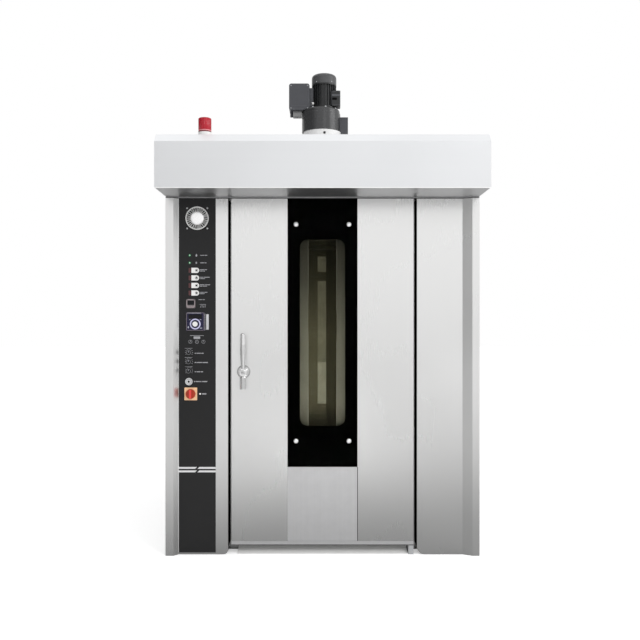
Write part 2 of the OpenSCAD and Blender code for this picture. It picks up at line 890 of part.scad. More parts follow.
module fan_guard() {
    spoke_w = 3;
    color("lightgray") {
        along_y(face_y - bezel_t - 2, face_y - 2) translate([vent_x, vent_z]) {
            circle(r = guard_disc_r);
            difference() {
                circle(r = guard_r);
                circle(r = guard_r - 5);
            }
            for (i = [0:guard_spokes - 1]) {
                rotate(i * 360 / guard_spokes) translate([guard_disc_r - 1, -spoke_w / 2])
                    square([guard_r - guard_disc_r - 2, spoke_w]);
            }
        }
        along_y(face_y - 2, face_y) translate([vent_x, vent_z]) difference() {
            circle(r = guard_r);
            circle(r = guard_r - 4);
        }
    }
}

module cooling_fan_frame() {
    bore_r = vent_frame_w / 2 - 3;
    y1 = panel_back + vent_frame_d;
    color([0.1, 0.1, 0.1]) {
        difference() {
            plate(vent_x, vent_z, vent_frame_w, vent_frame_w, 5, panel_back, y1);
            bar_y(bore_r, panel_back - 1, y1 - 3, vent_x, vent_z);
            along_y(y1 - 4, y1 + 1) translate([vent_x, vent_z]) difference() {
                circle(r = bore_r);
                circle(r = 24);
                for (i = [0:3]) {
                    rotate(45 + 90 * i) translate([0, -4]) square([bore_r + 1, 8]);
                }
            }
        }
        bar_y(22, y1 - 13, y1 - 2, vent_x, vent_z);
        bar_y(spindle_r, panel_back + 4, y1 - 12, vent_x, vent_z);
    }
}

module cooling_fan_rotor() {
    rotor_y0 = panel_back + 2;
    rotor_y1 = panel_back + vent_frame_d - 15;
    blade_l = vent_frame_w / 2 - 3 - 2 - 18;
    color([0.12, 0.12, 0.12]) translate([vent_x, 0, vent_z]) difference() {
        union() {
            bar_y(20, rotor_y0, rotor_y1, 0, 0);
            for (i = [0:6]) {
                rotate([0, i * 360 / 7, 0]) translate([18, (rotor_y0 + rotor_y1) / 2, 0])
                    rotate([50, 0, 0]) translate([0, -11, -1]) cube([blade_l, 22, 2]);
            }
        }
        bar_y(spindle_r + run_fit, rotor_y0 - 1, rotor_y1 + 1, 0, 0);
    }
}

module panel_lamps() {
    for (z = [0, 1]) {
        color("limegreen") {
            bar_y(lamp_r, face_y - 1, panel_back + 6, lamp_x, lamp_z - z * row_pitch);
            bar_y(lamp_r + 2, face_y - 2, face_y, lamp_x, lamp_z - z * row_pitch);
        }
    }
    for (i = [0:3]) {
        color("darkred") translate([lamp_x, 0, key_z - i * row_pitch]) {
            plate(0, 0, key_lamp_w, key_lamp_h, 1, face_y - 1, panel_back + 6);
            plate(0, 0, key_lamp_w + 2, key_lamp_h + 2, 1.5, face_y - 1, face_y);
        }
    }
    color("white") {
        bar_y(lamp_r - 1, face_y - 1, panel_back + 6, key_x + white_lamp_in, main_z);
        bar_y(lamp_r, face_y - 1.5, face_y, key_x + white_lamp_in, main_z);
    }
}

module switch_key(i) {
    color("white") translate([0, 0, key_z - (i - 1) * row_pitch]) {
        difference() {
            along_y(face_y - key_front, panel_back - 1) key_outline(0);
            bar_y(
                key_lens_r, face_y - key_front - 1, face_y - key_front + 1,
                key_x + key_w / 2 - key_h / 2, 0
            );
        }
        bar_y(stem_r, panel_back - 2, panel_back + stem_l, key_x, 0);
    }
}

// A block behind the panel with a pocket for a key and a bore for its stem
module key_block() {
    pocket = key_travel + stop_gap;
    difference() {
        along_y(panel_back, panel_back + block_d) translate([key_x, 0])
            square([key_w + 6, row_pitch - 5], center = true);
        along_y(panel_back - 1, panel_back + pocket) key_outline(hole_gap);
        bar_y(stem_r + run_fit, panel_back, panel_back + stem_l + pocket, key_x, 0);
    }
}

// A round block with a pocket and a bore, behind a knob or the button
module round_block(z, r, bore_r, pocket_r, pocket, bore_l) {
    difference() {
        bar_y(r, panel_back, panel_back + block_d, knob_x, z);
        bar_y(pocket_r, panel_back - 1, panel_back + pocket, knob_x, z);
        bar_y(bore_r + run_fit, panel_back, panel_back + bore_l, knob_x, z);
    }
}

module switch_blocks() {
    pocket = key_travel + stop_gap;
    color("dimgray") {
        for (i = [0:3]) {
            translate([0, 0, key_z - i * row_pitch]) key_block();
        }
        for (i = [0:2]) {
            round_block(knob_z - i * knob_pitch, knob_r + 2, spindle_r, spindle_r + 2, 1, 16);
        }
        round_block(button_z, bezel_r - 1, stem_r, bezel_r - 4, pocket, stem_l + pocket);
    }
}

module timer_module() {
    color("gray") {
        difference() {
            plate(timer_x, timer_z, timer_w, timer_w, 2, face_y - bezel_t, face_y);
            plate(
                timer_x, timer_z + timer_w / 10, timer_w * 3 / 4, timer_w / 2, 1,
                face_y - bezel_t - 1, face_y - bezel_t + 1
            );
        }
        plate(timer_x, timer_z, timer_w - 4, timer_w - 4, 1, face_y - 1, face_y + module_d);
    }
}

module controller_module() {
    dial_z = controller_z - dial_drop;
    color([0.1, 0.12, 0.3]) difference() {
        union() {
            plate(key_x, controller_z, controller_w, controller_w, 3, face_y - bezel_t, face_y);
            plate(
                key_x, controller_z, controller_w - 6, controller_w - 6, 2,
                face_y - 1, face_y + module_d
            );
            bar_y(2 * dial_r + 2, face_y - bezel_t - 1.5, face_y, key_x, dial_z);
        }
        bar_y(2 * dial_r - 4, face_y - bezel_t - 2, face_y - bezel_t, key_x, dial_z);
        bar_y(spindle_r + run_fit, face_y - bezel_t - 2, face_y + 14, key_x, dial_z);
        plate(
            key_x, controller_z + controller_w / 2 - 17, controller_w - 33, 24, 1,
            face_y - bezel_t - 1, face_y - bezel_t + 1
        );
    }
}

module controller_dial() {
    dial_z = controller_z - dial_drop;
    color("white") {
        bar_y(dial_r, face_y - bezel_t - 9, face_y - bezel_t - seat_gap, key_x, dial_z);
        bar_y(spindle_r, face_y - bezel_t - 1, face_y + 12, key_x, dial_z);
    }
}

module rotary_knob(i) {
    color([0.08, 0.08, 0.08]) translate([knob_x, 0, knob_z - (i - 1) * knob_pitch]) {
        bar_y(knob_r, face_y - 5, face_y - seat_gap, 0, 0);
        bar_y(knob_r - 2, face_y - 16, face_y - 4, 0, 0);
        block([-1.5, face_y - 17, 0], [1.5, face_y - 15, knob_r - 3]);
        bar_y(spindle_r, face_y - 1, panel_back + 14, 0, 0);
    }
}

module push_button() {
    color("silver") {
        bar_y(bezel_r - 5, face_y - bezel_t - 6, panel_back - 1, knob_x, button_z);
        bar_y(stem_r, panel_back - 2, panel_back + stem_l, knob_x, button_z);
    }
}

module main_switch_plate() {
    color([0.96, 0.85, 0.55]) difference() {
        union() {
            plate(timer_x, main_z, main_w, main_w, 3, face_y - bezel_t, face_y);
            plate(timer_x, main_z, main_body_w, main_body_w, 2, face_y - 1, face_y + module_d);
        }
        bar_y(stem_r + run_fit, face_y - bezel_t - 1, face_y + 22, timer_x, main_z);
    }
}

module main_switch_knob() {
    y0 = face_y - bezel_t;
    color([0.85, 0.2, 0.12]) {
        bar_y(main_r, y0 - 12, y0 - seat_gap, timer_x, main_z);
        along_y(y0 - 26, y0 - 11) translate([timer_x, main_z]) rounded(11, 1.8 * main_r, 5);
        bar_y(stem_r, y0 - 1, face_y + 20, timer_x, main_z);
    }
}

// ---------- drives on the roof ----------

module drive_pedestal() {
    wall = 5;
    color("whitesmoke") translate([0, axis_y, 0]) {
        rotate_extrude() polygon([
            [pedestal_r - wall, roof_z1 + 8], [pedestal_r - 30, roof_z1 + 8],
            [pedestal_r - 30, roof_z1], [pedestal_r + 28, roof_z1], [pedestal_r + 28, roof_z1 + 8],
            [pedestal_r, roof_z1 + 8], [pedestal_r, pedestal_top], [shaft_hole_r, pedestal_top],
            [shaft_hole_r, pedestal_top - 10], [pedestal_r - wall, pedestal_top - 10]
        ]);
        translate([0, 0, roof_z1]) difference() {
            union() {
                cylinder(r = pedestal_r - 32, h = 12);
                cylinder(r = shaft_r + 16, h = 36);
            }
            translate([0, 0, -1]) cylinder(r = shaft_r + run_fit, h = 38);
        }
    }
}

module gearbox_housing() {
    top = pedestal_top + gearbox_h;
    color([0.25, 0.25, 0.27]) translate([0, axis_y, 0]) difference() {
        translate([-gearbox_dx, 0, 0]) rotate_extrude() polygon(concat(
            [[0, pedestal_top], [gearbox_r - 2, pedestal_top], [gearbox_r, pedestal_top + 2]],
            [[gearbox_r, top - 26], [gearbox_r - 4, top - 24], [gearbox_r - 4, top - 10]],
            arc(gearbox_r - 14, top - 10, 10, 0, 90), [[0, top]]
        ));
        translate([0, 0, pedestal_top - 1]) cylinder(r = shaft_r + run_fit, h = gear_bore + 1);
    }
}

// A finned motor standing on its flange, with its fan cowl
module finned_motor(r, h, cowl, fins) {
    core_r = r - fin_l;
    foot = 12;
    difference() {
        union() {
            cylinder(r = r + 4, h = foot);
            translate([0, 0, foot]) cylinder(r = core_r + 4, h = 10);
            linear_extrude(h) {
                circle(r = core_r);
                for (i = [0:fins - 1]) {
                    rotate((i + 0.5) * 360 / fins) translate([core_r - 2, -fin_t / 2])
                        square([fin_l + 2, fin_t]);
                }
            }
        }
        translate([0, 0, -1]) cylinder(r = fan_shaft_r + run_fit, h = 40);
    }
    translate([0, 0, h]) rotate_extrude() polygon(concat(
        [[0, 0], [r + 1, 0], [r + 1, cowl - 26]],
        arc(r - 19, cowl - 26, 20, 10, 70),
        arc(r - 60, cowl - 60, 60, 66, 90),
        [[0, cowl]]
    ));
}

module drive_motor() {
    z0 = pedestal_top + gearbox_h;
    cover_w = 56;
    cover_d = 76;
    cover_h = 92;
    cover_low = 14;
    cover_x = motor_dx + motor_r - 4;
    cover_y = axis_y - motor_r + 8 + cover_d / 2;
    color([0.2, 0.2, 0.22]) {
        translate([motor_dx, axis_y, z0]) finned_motor(motor_r, motor_h, cowl_h, motor_fins);
        difference() {
            translate([cover_x, cover_y, z0 + cover_low]) linear_extrude(cover_h)
                rounded(cover_w, cover_d, 10);
            translate([motor_dx, axis_y, z0]) cylinder(r = motor_r + seat_gap, h = motor_h);
        }
    }
}

module inverter_box() {
    x1 = motor_dx - motor_r - 14;
    z0 = pedestal_top + gearbox_h - 8;
    x0 = x1 - inverter_w;
    neck_half = 35;
    neck_z0 = 22;
    neck_h = 116;
    gland_in = 14;
    gland_r = 9;
    entry_in = 24;
    entry_w = 51;
    entry_h = 30;
    entry_half = 28;
    sensor_half = 26;
    sensor_x0 = gearbox_r - 17;
    sensor_w = 57;
    sensor_z0 = pedestal_top - 8;
    sensor_h = 99;
    color([0.33, 0.33, 0.35]) {
        difference() {
            union() {
                along_y(axis_y - inverter_d / 2, axis_y + inverter_d / 2)
                    translate([(x0 + x1) / 2, z0 + inverter_h / 2]) rounded(inverter_w, inverter_h, 14);
                block(
                    [x1 - 1, axis_y - neck_half, z0 + neck_z0],
                    [motor_dx - motor_r / 2, axis_y + neck_half, z0 + neck_z0 + neck_h]
                );
            }
            translate([motor_dx, axis_y, z0]) cylinder(r = motor_r + seat_gap, h = inverter_h);
            translate([-gearbox_dx, axis_y, pedestal_top])
                cylinder(r = gearbox_r + seat_gap, h = gearbox_h);
        }
        block(
            [x0 + entry_in, axis_y - entry_half, z0 - entry_h],
            [x0 + entry_in + entry_w, axis_y + entry_half, z0 + 1]
        );
        translate([x0 + gland_in, axis_y, z0 - entry_h]) cylinder(r = gland_r, h = entry_h + 1);
        difference() {
            block(
                [sensor_x0, axis_y - sensor_half, sensor_z0],
                [sensor_x0 + sensor_w, axis_y + sensor_half, sensor_z0 + sensor_h]
            );
            translate([-gearbox_dx, axis_y, sensor_z0 - 1])
                cylinder(r = gearbox_r + seat_gap, h = sensor_h + 2);
            translate([0, axis_y, sensor_z0 - 1])
                cylinder(r = pedestal_r + seat_gap, h = pedestal_top - sensor_z0 + 1);
        }
    }
}

module fan_motor() {
    color([0.3, 0.32, 0.35]) translate([0, fan_y, roof_z1])
        finned_motor(fan_motor_r, fan_motor_h, fan_cowl_h, motor_fins);
}

module fan_impeller() {
    ring_lap = 1;
    z0 = shelf_z + lining_t + ring_h - ring_lap;
    eye_r = inlet_r + 6;
    blade_r = 75;
    blade_t = 3;
    hub_r = fan_shaft_r + 18;
    color("silver") translate([0, fan_y, 0]) {
        translate([0, 0, z0]) difference() {
            cylinder(r = fan_r, h = 3);
            translate([0, 0, -1]) cylinder(r = eye_r, h = 5);
        }
        translate([0, 0, z0 + 2]) linear_extrude(fan_h) for (i = [0:blade_count - 1]) {
            rotate(i * 360 / blade_count) intersection() {
                difference() {
                    circle(r = fan_r - 1);
                    circle(r = blade_root_r);
                }
                translate([(blade_root_r + fan_r) / 2, 0]) difference() {
                    circle(r = blade_r);
                    circle(r = blade_r - blade_t);
                }
                square([fan_r, fan_r]);
            }
        }
        translate([0, 0, z0 + fan_h]) cylinder(r = fan_r, h = 4);
        translate([0, 0, z0 + fan_h - 30]) cylinder(r = hub_r, h = 60);
        translate([0, 0, z0 + fan_h - 20])
            cylinder(r = fan_shaft_r, h = roof_z1 + 36 - z0 - fan_h + 20);
    }
}

// ---------- door ----------

module cap_places() {
    for (x = [-1, 1], z = [window_z0 - cap_off, window_z1 + cap_off]) {
        translate([x * cap_x, z]) children();
    }
}

module door_shell() {
    well_h = window_h + 40;
    well_back = door_back - 20;
    color("gainsboro") difference() {
        block([-door_x, face_y, door_z0], [door_x, door_back, door_top]);
        block([-centre_w / 2, face_y - 1, inset_z0 - 1], [centre_w / 2, face_y + inset_t, door_top + 1]);
        block([-door_x - 1, face_y - 1, door_z0 + 4], [door_x + 1, face_y + trim_t, inset_z0]);
        plate(0, window_z, window_w + 16, well_h, 10, face_y, well_back);
        plate(0, window_z, inner_w, well_h - 16, 8, well_back - 1, door_back + 1);
        plate(0, window_z, inner_w + 28, well_h + 12, 14, door_back - pane_t, door_back + 1);
        along_y(face_y, face_y + inset_t + 6) cap_places() circle(r = cap_r / 2 + seat_gap);
        for (z = [door_z0 - 1, door_top - pin_grip - 3]) {
            translate([pin_x, pin_y, z]) cylinder(r = pin_r + run_fit, h = pin_grip + 4);
        }
        bar_y(handle_spindle_r + run_fit, face_y - 1, face_y + handle_spindle_l + 2, handle_x, handle_z);
    }
}

module door_glass() {
    w = centre_w - 2 * seat_gap;
    h = door_top - glass_z0;
    color([0.2, 0.25, 0.25, 0.5]) {
        along_y(face_y, face_y + inset_t - mask_t) difference() {
            translate([-w / 2, glass_z0]) square([w, h]);
            cap_places() circle(r = cap_r / 2 + seat_gap);
        }
        plate(
            0, window_z, inner_w + 28 - 2 * seat_gap, window_h + 52 - 2 * seat_gap, 14,
            door_back - pane_t, door_back
        );
    }
}

// The black print behind the glass, the panel under it and the door's lower trim strip
module door_panels() {
    w = centre_w - 2 * seat_gap;
    color([0.05, 0.05, 0.05]) along_y(face_y + inset_t - mask_t, face_y + inset_t) difference() {
        translate([-w / 2, glass_z0]) square([w, door_top - glass_z0]);
        cap_places() circle(r = cap_r / 2 + seat_gap);
        translate([0, window_z]) rounded(window_w, window_h, window_r);
    }
    color("silver") {
        block([-w / 2, face_y, inset_z0 + seat_gap], [w / 2, face_y + inset_t, glass_z0 - seat_gap]);
        block(
            [-door_x, face_y, door_z0 + 4 + seat_gap],
            [door_x, face_y + trim_t, inset_z0 - seat_gap]
        );
    }
}

// The four caps on the glass and the handle's rose
module door_fittings() {
    color("silver") {
        along_y(face_y, face_y + inset_t + 5) cap_places() circle(r = cap_r / 2);
        along_y(face_y - 3, face_y) cap_places() circle(r = cap_r);
        difference() {
            bar_y(rose_r, face_y - rose_t, face_y, handle_x, handle_z);
            bar_y(handle_spindle_r + run_fit, face_y - rose_t - 1, face_y + 1, handle_x, handle_z);
        }
    }
}

module door_seal() {
    y1 = frame_y0 - seal_gap;
    color([0.1, 0.1, 0.1]) union() {
        along_y(door_back, y1) difference() {
            translate([-seal_x - seal_w, door_z0 + 2])
                square([2 * (seal_x + seal_w), doorway_top + 2 + seal_w - door_z0 - 2]);
            translate([-seal_x, door_z0]) square([2 * seal_x, doorway_top + 2 - door_z0]);
        }
        block([-seal_x - 1, door_back, floor_t + seat_gap], [seal_x + 1, door_back + 5, door_z0 + 14]);
    }
}

// Outline of the turned lever: neck, grip with a round end, and the stub below
module lever_profile() {
    top_r = lever_r - 1;
    polygon(concat(
        [[0, 4 - lever_down], [stub_r - 4, -lever_down]],
        arc(stub_r - 4, 4 - lever_down, 4, -90, 0, 4),
        [[stub_r, -hub_r - 8], [neck_r, -hub_r + 6], [neck_r, hub_r]],
        [[lever_r, lever_up * 0.45], [lever_r, lever_up * 0.7]],
        arc(0, lever_up - top_r, top_r, 0, 90, 10)
    ));
}

module handle_lever() {
    y0 = face_y - rose_t - seat_gap;
    color("silver") {
        translate([handle_x, lever_y, handle_z]) rotate_extrude() lever_profile();
        translate([handle_x, y0, handle_z]) rotate([90, 0, 0]) rotate_extrude() polygon(concat(
            [[0, 0], [hub_r - 4, 0], [hub_r - 4, 12], [hub_r, 18]],
            arc(hub_r - 5, y0 - lever_y + 17, 5, 0, 90, 5), [[0, y0 - lever_y + 22]]
        ));
        bar_y(handle_spindle_r, y0 - 2, face_y + handle_spindle_l, handle_x, handle_z);
    }
}

// ---------- rack ----------

module rack_hanger() {
    hook_x = ear_x + ear_t + ear_flange;
    lip_z = ear_z - ear_t - hook_t;
    shoulder_z = ear_z + 10;
    color("silver") union() {
        translate([0, axis_y, beam_z]) cylinder(r = shaft_r, h = pedestal_top + gear_bore - 4 - beam_z);
        translate([0, axis_y, beam_z + beam_t - 1]) cylinder(r = shaft_r + 30, h = 15);
        block(
            [-hook_x - hook_t, axis_y - beam_half, beam_z],
            [hook_x + hook_t, axis_y + beam_half, beam_z + beam_t]
        );
        for (side = [0, 1]) {
            mirror([side, 0, 0]) {
                along_x(hook_x, hook_x + hook_t) polygon([
                    [axis_y - hook_l, lip_z], [axis_y + hook_l, lip_z],
                    [axis_y + hook_l, shoulder_z], [axis_y + beam_half, beam_z + beam_t],
                    [axis_y - beam_half, beam_z + beam_t], [axis_y - hook_l, shoulder_z]
                ]);
                block(
                    [ear_x + ear_t + 3, axis_y - hook_l, lip_z],
                    [hook_x + 1, axis_y + hook_l, ear_z - ear_t]
                );
            }
        }
    }
}

module rack_frame() {
    color("silver") union() {
        for (x = [-rack_x, rack_x - tube_w]) {
            for (y = [rack_y0, rack_y1 - tube_w]) {
                block([x, y, rack_z0], [x + tube_w, y + tube_w, rack_top]);
            }
            for (z = [rack_z0, rack_top - tube_w]) {
                block([x, rack_y0, z], [x + tube_w, rack_y1, z + tube_w]);
            }
        }
        for (y = [rack_y0, rack_y1 - tube_w], z = [rack_z0, rack_top - tube_w]) {
            block([-rack_x, y, z], [rack_x, y + tube_w, z + tube_w]);
        }
        for (side = [0, 1]) {
            mirror([side, 0, 0]) {
                block([ear_x, rack_y0, rack_top - 1], [ear_x + ear_t, rack_y1, ear_z]);
                block(
                    [ear_x, rack_y0, ear_z - ear_t],
                    [ear_x + ear_t + ear_flange - 2, rack_y1, ear_z]
                );
            }
        }
    }
}

// An angle section as long as the rack is deep
module tray_rail() {
    x = rack_x - tube_w;
    along_y(rack_y0, rack_y1) polygon([
        [x, 0], [x, rail_leg], [x - rail_t, rail_leg], [x - rail_t, rail_t],
        [x - rail_reach, rail_t], [x - rail_reach, 0]
    ]);
}

module tray_rails() {
    color("silver") for (i = [0:levels - 1], side = [0, 1]) {
        mirror([side, 0, 0]) translate([0, 0, first_tray_z + i * tray_spacing]) tray_rail();
    }
}

module castor_mounts() {
    color("darkgray") for (x = [-1, 1]) {
        for (y = [-1, 1]) {
            translate([x * castor_x, axis_y + y * castor_y, rack_z0 - mount_t])
                block([-mount_half, -mount_half, 0], [mount_half, mount_half, mount_t]);
        }
        translate([x * castor_x, axis_y - castor_y, crown_z - 4])
            cylinder(r = kingpin_r, h = rack_z0 - crown_z);
        translate([x * castor_x, axis_y + castor_y, 0]) fork_legs(rack_z0 - mount_t + 1);
    }
}

// Two cheeks and an axle about the wheel's centre, up to height top
module fork_legs(top) {
    gap = wheel_w / 2 + 2;
    boss_r = axle_r + 10;
    for (side = [0, 1]) {
        mirror([side, 0, 0]) along_x(gap, gap + cheek_t) {
            translate([0, wheel_z]) circle(r = boss_r);
            polygon([[-boss_r, wheel_z], [boss_r, wheel_z], [cheek_half, top], [-cheek_half, top]]);
        }
    }
    translate([-gap - 1, 0, wheel_z]) rotate([0, 90, 0]) cylinder(r = axle_r, h = 2 * gap + 2);
}

module swivel_fork(x) {
    gap = wheel_w / 2 + 2;
    color("darkgray") translate([x * castor_x, axis_y - castor_y, 0]) union() {
        translate([0, trail, 0]) fork_legs(crown_z + 1);
        difference() {
            block(
                [-gap - cheek_t, -cheek_half, crown_z],
                [gap + cheek_t, trail + cheek_half, crown_z + crown_t]
            );
            translate([0, 0, crown_z - 5]) cylinder(r = kingpin_r + run_fit, h = 20);
        }
    }
}

// A wheel with a dished web between hub and tread
module wheel(x, y) {
    half = wheel_w / 2;
    web = half - 6;
    hub = axle_r + 10;
    rim = wheel_r - 14;
    crown = wheel_r - 4;
    color([0.15, 0.15, 0.15]) translate([x * castor_x, axis_y + y, wheel_z]) rotate([0, 90, 0])
        rotate_extrude() polygon([
            [axle_r + run_fit, -half], [hub, -half], [hub, -web], [rim, -web], [rim, -half],
            [crown, -half], [wheel_r, -web], [wheel_r, web], [crown, half], [rim, half],
            [rim, web], [hub, web], [hub, half], [axle_r + run_fit, half]
        ]);
}

floor_pan();
left_side_wall();
right_side_wall();
back_wall();
roof_panel();
door_frame();
left_pillar();
right_pillar();
door_pivots();
air_walls();
rear_baffle();
heater_bank();
steam_generator();
flue_collar();
canopy_shell();
canopy_soffit();
beacon_base();
beacon_dome();
control_panels();
panel_trims();
fan_guard();
cooling_fan_frame();
cooling_fan_rotor();
panel_lamps();
switch_key(1);  // switch_key_1
switch_key(2);  // switch_key_2
switch_key(3);  // switch_key_3
switch_key(4);  // switch_key_4
switch_blocks();
timer_module();
controller_module();
controller_dial();
rotary_knob(1);  // rotary_knob_1
rotary_knob(2);  // rotary_knob_2
rotary_knob(3);  // rotary_knob_3
push_button();
main_switch_plate();
main_switch_knob();
drive_pedestal();
gearbox_housing();
drive_motor();
inverter_box();
fan_motor();
fan_impeller();
door_shell();
door_glass();
door_panels();
door_fittings();
door_seal();
handle_lever();
rack_hanger();
rack_frame();
tray_rails();
castor_mounts();
swivel_fork(-1);  // swivel_fork_left
swivel_fork(1);  // swivel_fork_right
wheel(-1, trail - castor_y);  // wheel_front_left
wheel(1, trail - castor_y);  // wheel_front_right
wheel(-1, castor_y);  // wheel_rear_left
wheel(1, castor_y);  // wheel_rear_right
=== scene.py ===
# %% [markdown]
# # Rotating rack oven
# A bakery oven taller than a person: stainless cladding, a black control column, a door with one
# tall window, and a drive on the roof that turns the tray rack inside. The solids come from the
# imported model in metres, so this lesson adds only what the eye needs: light, finishes, and the
# small pieces that a solid model leaves out. Everything starts from the frame.

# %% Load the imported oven
import json
import math

import bmesh
import bpy
import numpy as np
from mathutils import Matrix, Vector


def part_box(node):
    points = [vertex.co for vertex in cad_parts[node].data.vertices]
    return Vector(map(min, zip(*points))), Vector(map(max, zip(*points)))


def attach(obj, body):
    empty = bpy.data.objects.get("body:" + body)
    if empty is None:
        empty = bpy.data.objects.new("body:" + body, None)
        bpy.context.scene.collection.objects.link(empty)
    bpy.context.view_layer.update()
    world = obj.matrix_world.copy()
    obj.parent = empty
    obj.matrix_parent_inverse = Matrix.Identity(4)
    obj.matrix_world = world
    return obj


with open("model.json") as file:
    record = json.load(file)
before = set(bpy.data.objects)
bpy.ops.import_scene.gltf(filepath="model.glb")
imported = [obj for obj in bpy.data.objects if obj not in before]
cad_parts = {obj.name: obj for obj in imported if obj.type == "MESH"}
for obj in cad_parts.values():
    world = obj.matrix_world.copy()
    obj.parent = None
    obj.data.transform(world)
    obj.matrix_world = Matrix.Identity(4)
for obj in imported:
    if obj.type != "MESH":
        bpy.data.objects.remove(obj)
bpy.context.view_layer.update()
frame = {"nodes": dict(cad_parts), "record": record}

scene = bpy.context.scene
scene.view_settings.view_transform = "Standard"
nodes = frame["nodes"]
for packed in nodes.values():
    packed.data.materials.clear()
for plain in list(bpy.data.materials):
    bpy.data.materials.remove(plain)

# %% [markdown]
# ## The camera
# The photograph was taken level with the middle of the oven, from straight in front and close by,
# so the canopy looks larger than the door below it. A camera that looks along +Y without tilt or
# shift keeps every upright edge upright. The lens follows from one measured distance: the door is
# 4.05 m away, and one photograph pixel covers 5.2 mm there.

# %% Camera
SENSOR = 0.036
PHOTO_SIDE = 640
PIXEL_AT_DOOR = 0.0052
CAMERA_PLACE = (-0.013, -4.80, 1.219)
door_low, door_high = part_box("door_shell")

camera = bpy.data.objects.new("camera", bpy.data.cameras.new("camera"))
camera.location = CAMERA_PLACE
camera.rotation_euler = (math.pi / 2, 0, 0)
camera.data.sensor_width = SENSOR * 1000
distance = door_low.y - CAMERA_PLACE[1]
camera.data.lens = 1000 * SENSOR * distance / (PIXEL_AT_DOOR * PHOTO_SIDE)
scene.collection.objects.link(camera)
scene.camera = camera
print("lens:", round(camera.data.lens, 2), "mm")

# %% [markdown]
# ## Nodes in words
# A finish is a small network of nodes. Helpers keep such networks short: one makes a node and sets
# its inputs, whether an input is a number or another node's output, and the others name the few
# steps that come up again and again.

# %% Node helpers
def feed(tree, socket, value):
    """Links value to the socket if it is a socket itself, and otherwise sets it as a constant."""
    if isinstance(value, bpy.types.NodeSocket):
        tree.links.new(value, socket)
    else:
        socket.default_value = value


def feed_all(tree, sockets, **values):
    """Feeds several sockets by name, with _ for a space."""
    for name, value in values.items():
        feed(tree, sockets[name.replace("_", " ")], value)


def add_node(tree, kind, inputs=(), **settings):
    """A new node of that kind, its settings set and its inputs fed by name or number."""
    made = tree.nodes.new(kind)
    for name, value in settings.items():
        setattr(made, name, value)
    for name, value in dict(inputs).items():
        feed(tree, made.inputs[name], value)
    return made


print("node helpers ready")


# %% Arithmetic, noise and directions in nodes
def calc(tree, operation, *values):
    """One Math node: the output of the operation on one, two or three values."""
    return add_node(tree, "ShaderNodeMath", enumerate(values), operation=operation).outputs[0]


def times(tree, first, second):
    """The product of two values."""
    return calc(tree, "MULTIPLY", first, second)


def straight(tree, value, slope, start):
    """A straight line: value * slope + start."""
    return calc(tree, "MULTIPLY_ADD", value, slope, start)


def ramp(tree, value, low, high, to_low, to_high):
    """A smooth step: to_low below low, to_high above high, and an S-curve between them."""
    made = add_node(tree, "ShaderNodeMapRange", interpolation_type="SMOOTHSTEP", inputs={
        "Value": value, "From Min": low, "From Max": high, "To Min": to_low, "To Max": to_high})
    return made.outputs["Result"]


def noise(tree, vector, scale, detail=2.0, roughness=0.5):
    """The value of a Noise texture at vector."""
    return add_node(tree, "ShaderNodeTexNoise", inputs={
        "Vector": vector, "Scale": scale, "Detail": detail, "Roughness": roughness}).outputs[0]


def dot(tree, first, second):
    """The dot product of two vectors."""
    return add_node(tree, "ShaderNodeVectorMath", operation="DOT_PRODUCT", inputs={
        0: first, 1: second}).outputs["Value"]


def z_of(tree, vector):
    """The Z of a vector."""
    return add_node(tree, "ShaderNodeSeparateXYZ", inputs={0: vector}).outputs["Z"]


print("arithmetic ready")


# %% New groups
def new_group(name, inputs, outputs):
    """A shader node group that takes a Vector and the inputs with their defaults, and gives the
    named numbers: (tree, sockets of what is given, sockets of the result)."""
    tree = bpy.data.node_groups.new(name, "ShaderNodeTree")
    for title, default in {"Vector": (0, 0, 0), **inputs}.items():
        kind = "NodeSocketVector" if isinstance(default, tuple) else "NodeSocketFloat"
        tree.interface.new_socket(title, in_out="INPUT", socket_type=kind).default_value = default
    for title in outputs:
        tree.interface.new_socket(title, in_out="OUTPUT", socket_type="NodeSocketFloat")
    print("made", name)
    return tree, tree.nodes.new("NodeGroupInput").outputs, tree.nodes.new("NodeGroupOutput").inputs


print("groups can be made")

# %% [markdown]
# ## Effects that several finishes share
# Stainless sheet is never one grey. Its rolled and brushed grain runs one way, and soft clouds lie
# on it where the sheet isn't quite flat. Near the floor its colour is painted darker, and a little
# darker to the right: a painted reflection of the darker floor. Painted castings show bare metal
# at their edges, moulded plastic has a faint orange skin, and dust lies on whatever faces up. Each
# effect is one node group, built once, with its own values wherever it is used. A group gives out
# only values that vary over the surface.

# %% Group: brushed grain
tree, given, result = new_group("Brushed Grain", {"Scale": (1, 1, 1)}, ["Grain", "Height"])
stretched = add_node(tree, "ShaderNodeVectorMath", operation="MULTIPLY", inputs={
    0: given["Vector"], 1: given["Scale"]}).outputs[0]
streaks = noise(tree, stretched, 0.16)
hairs = noise(tree, stretched, 1.0, 3.0, 0.65)
mixed = calc(tree, "ADD", times(tree, streaks, 0.6), times(tree, hairs, 0.4))
feed_all(tree, result, Grain=calc(tree, "SUBTRACT", mixed, 0.5), Height=hairs)

# %% Group: cloudy sheet
tree, given, result = new_group("Cloudy Sheet", {"Size": 0.5, "Amount": 0.05}, ["Tone", "Haze"])
per_metre = calc(tree, "DIVIDE", 1.0, given["Size"])
wide = noise(tree, given["Vector"], per_metre, 1.5, 0.45)
centred = calc(tree, "SUBTRACT", wide, 0.5)
swing = times(tree, times(tree, centred, given["Amount"]), 4.0)
feed_all(tree, result, Tone=calc(tree, "ADD", 1.0, swing), Haze=centred)

# %% Group: painted floor reflection
tree, given, result = new_group("Painted Floor Reflection", {"Floor Tone": 0.8, "Fade Height": 0.90}, ["Tone"])
# Painted floor reflection: the tone falls from 1 at Fade Height to Floor Tone at the floor, a
# little more towards +X.
height = dot(tree, given["Vector"], (-0.12, 0.0, 1.0))
feed_all(tree, result,
         Tone=ramp(tree, height, 0.0, given["Fade Height"], given["Floor Tone"], 1.0))

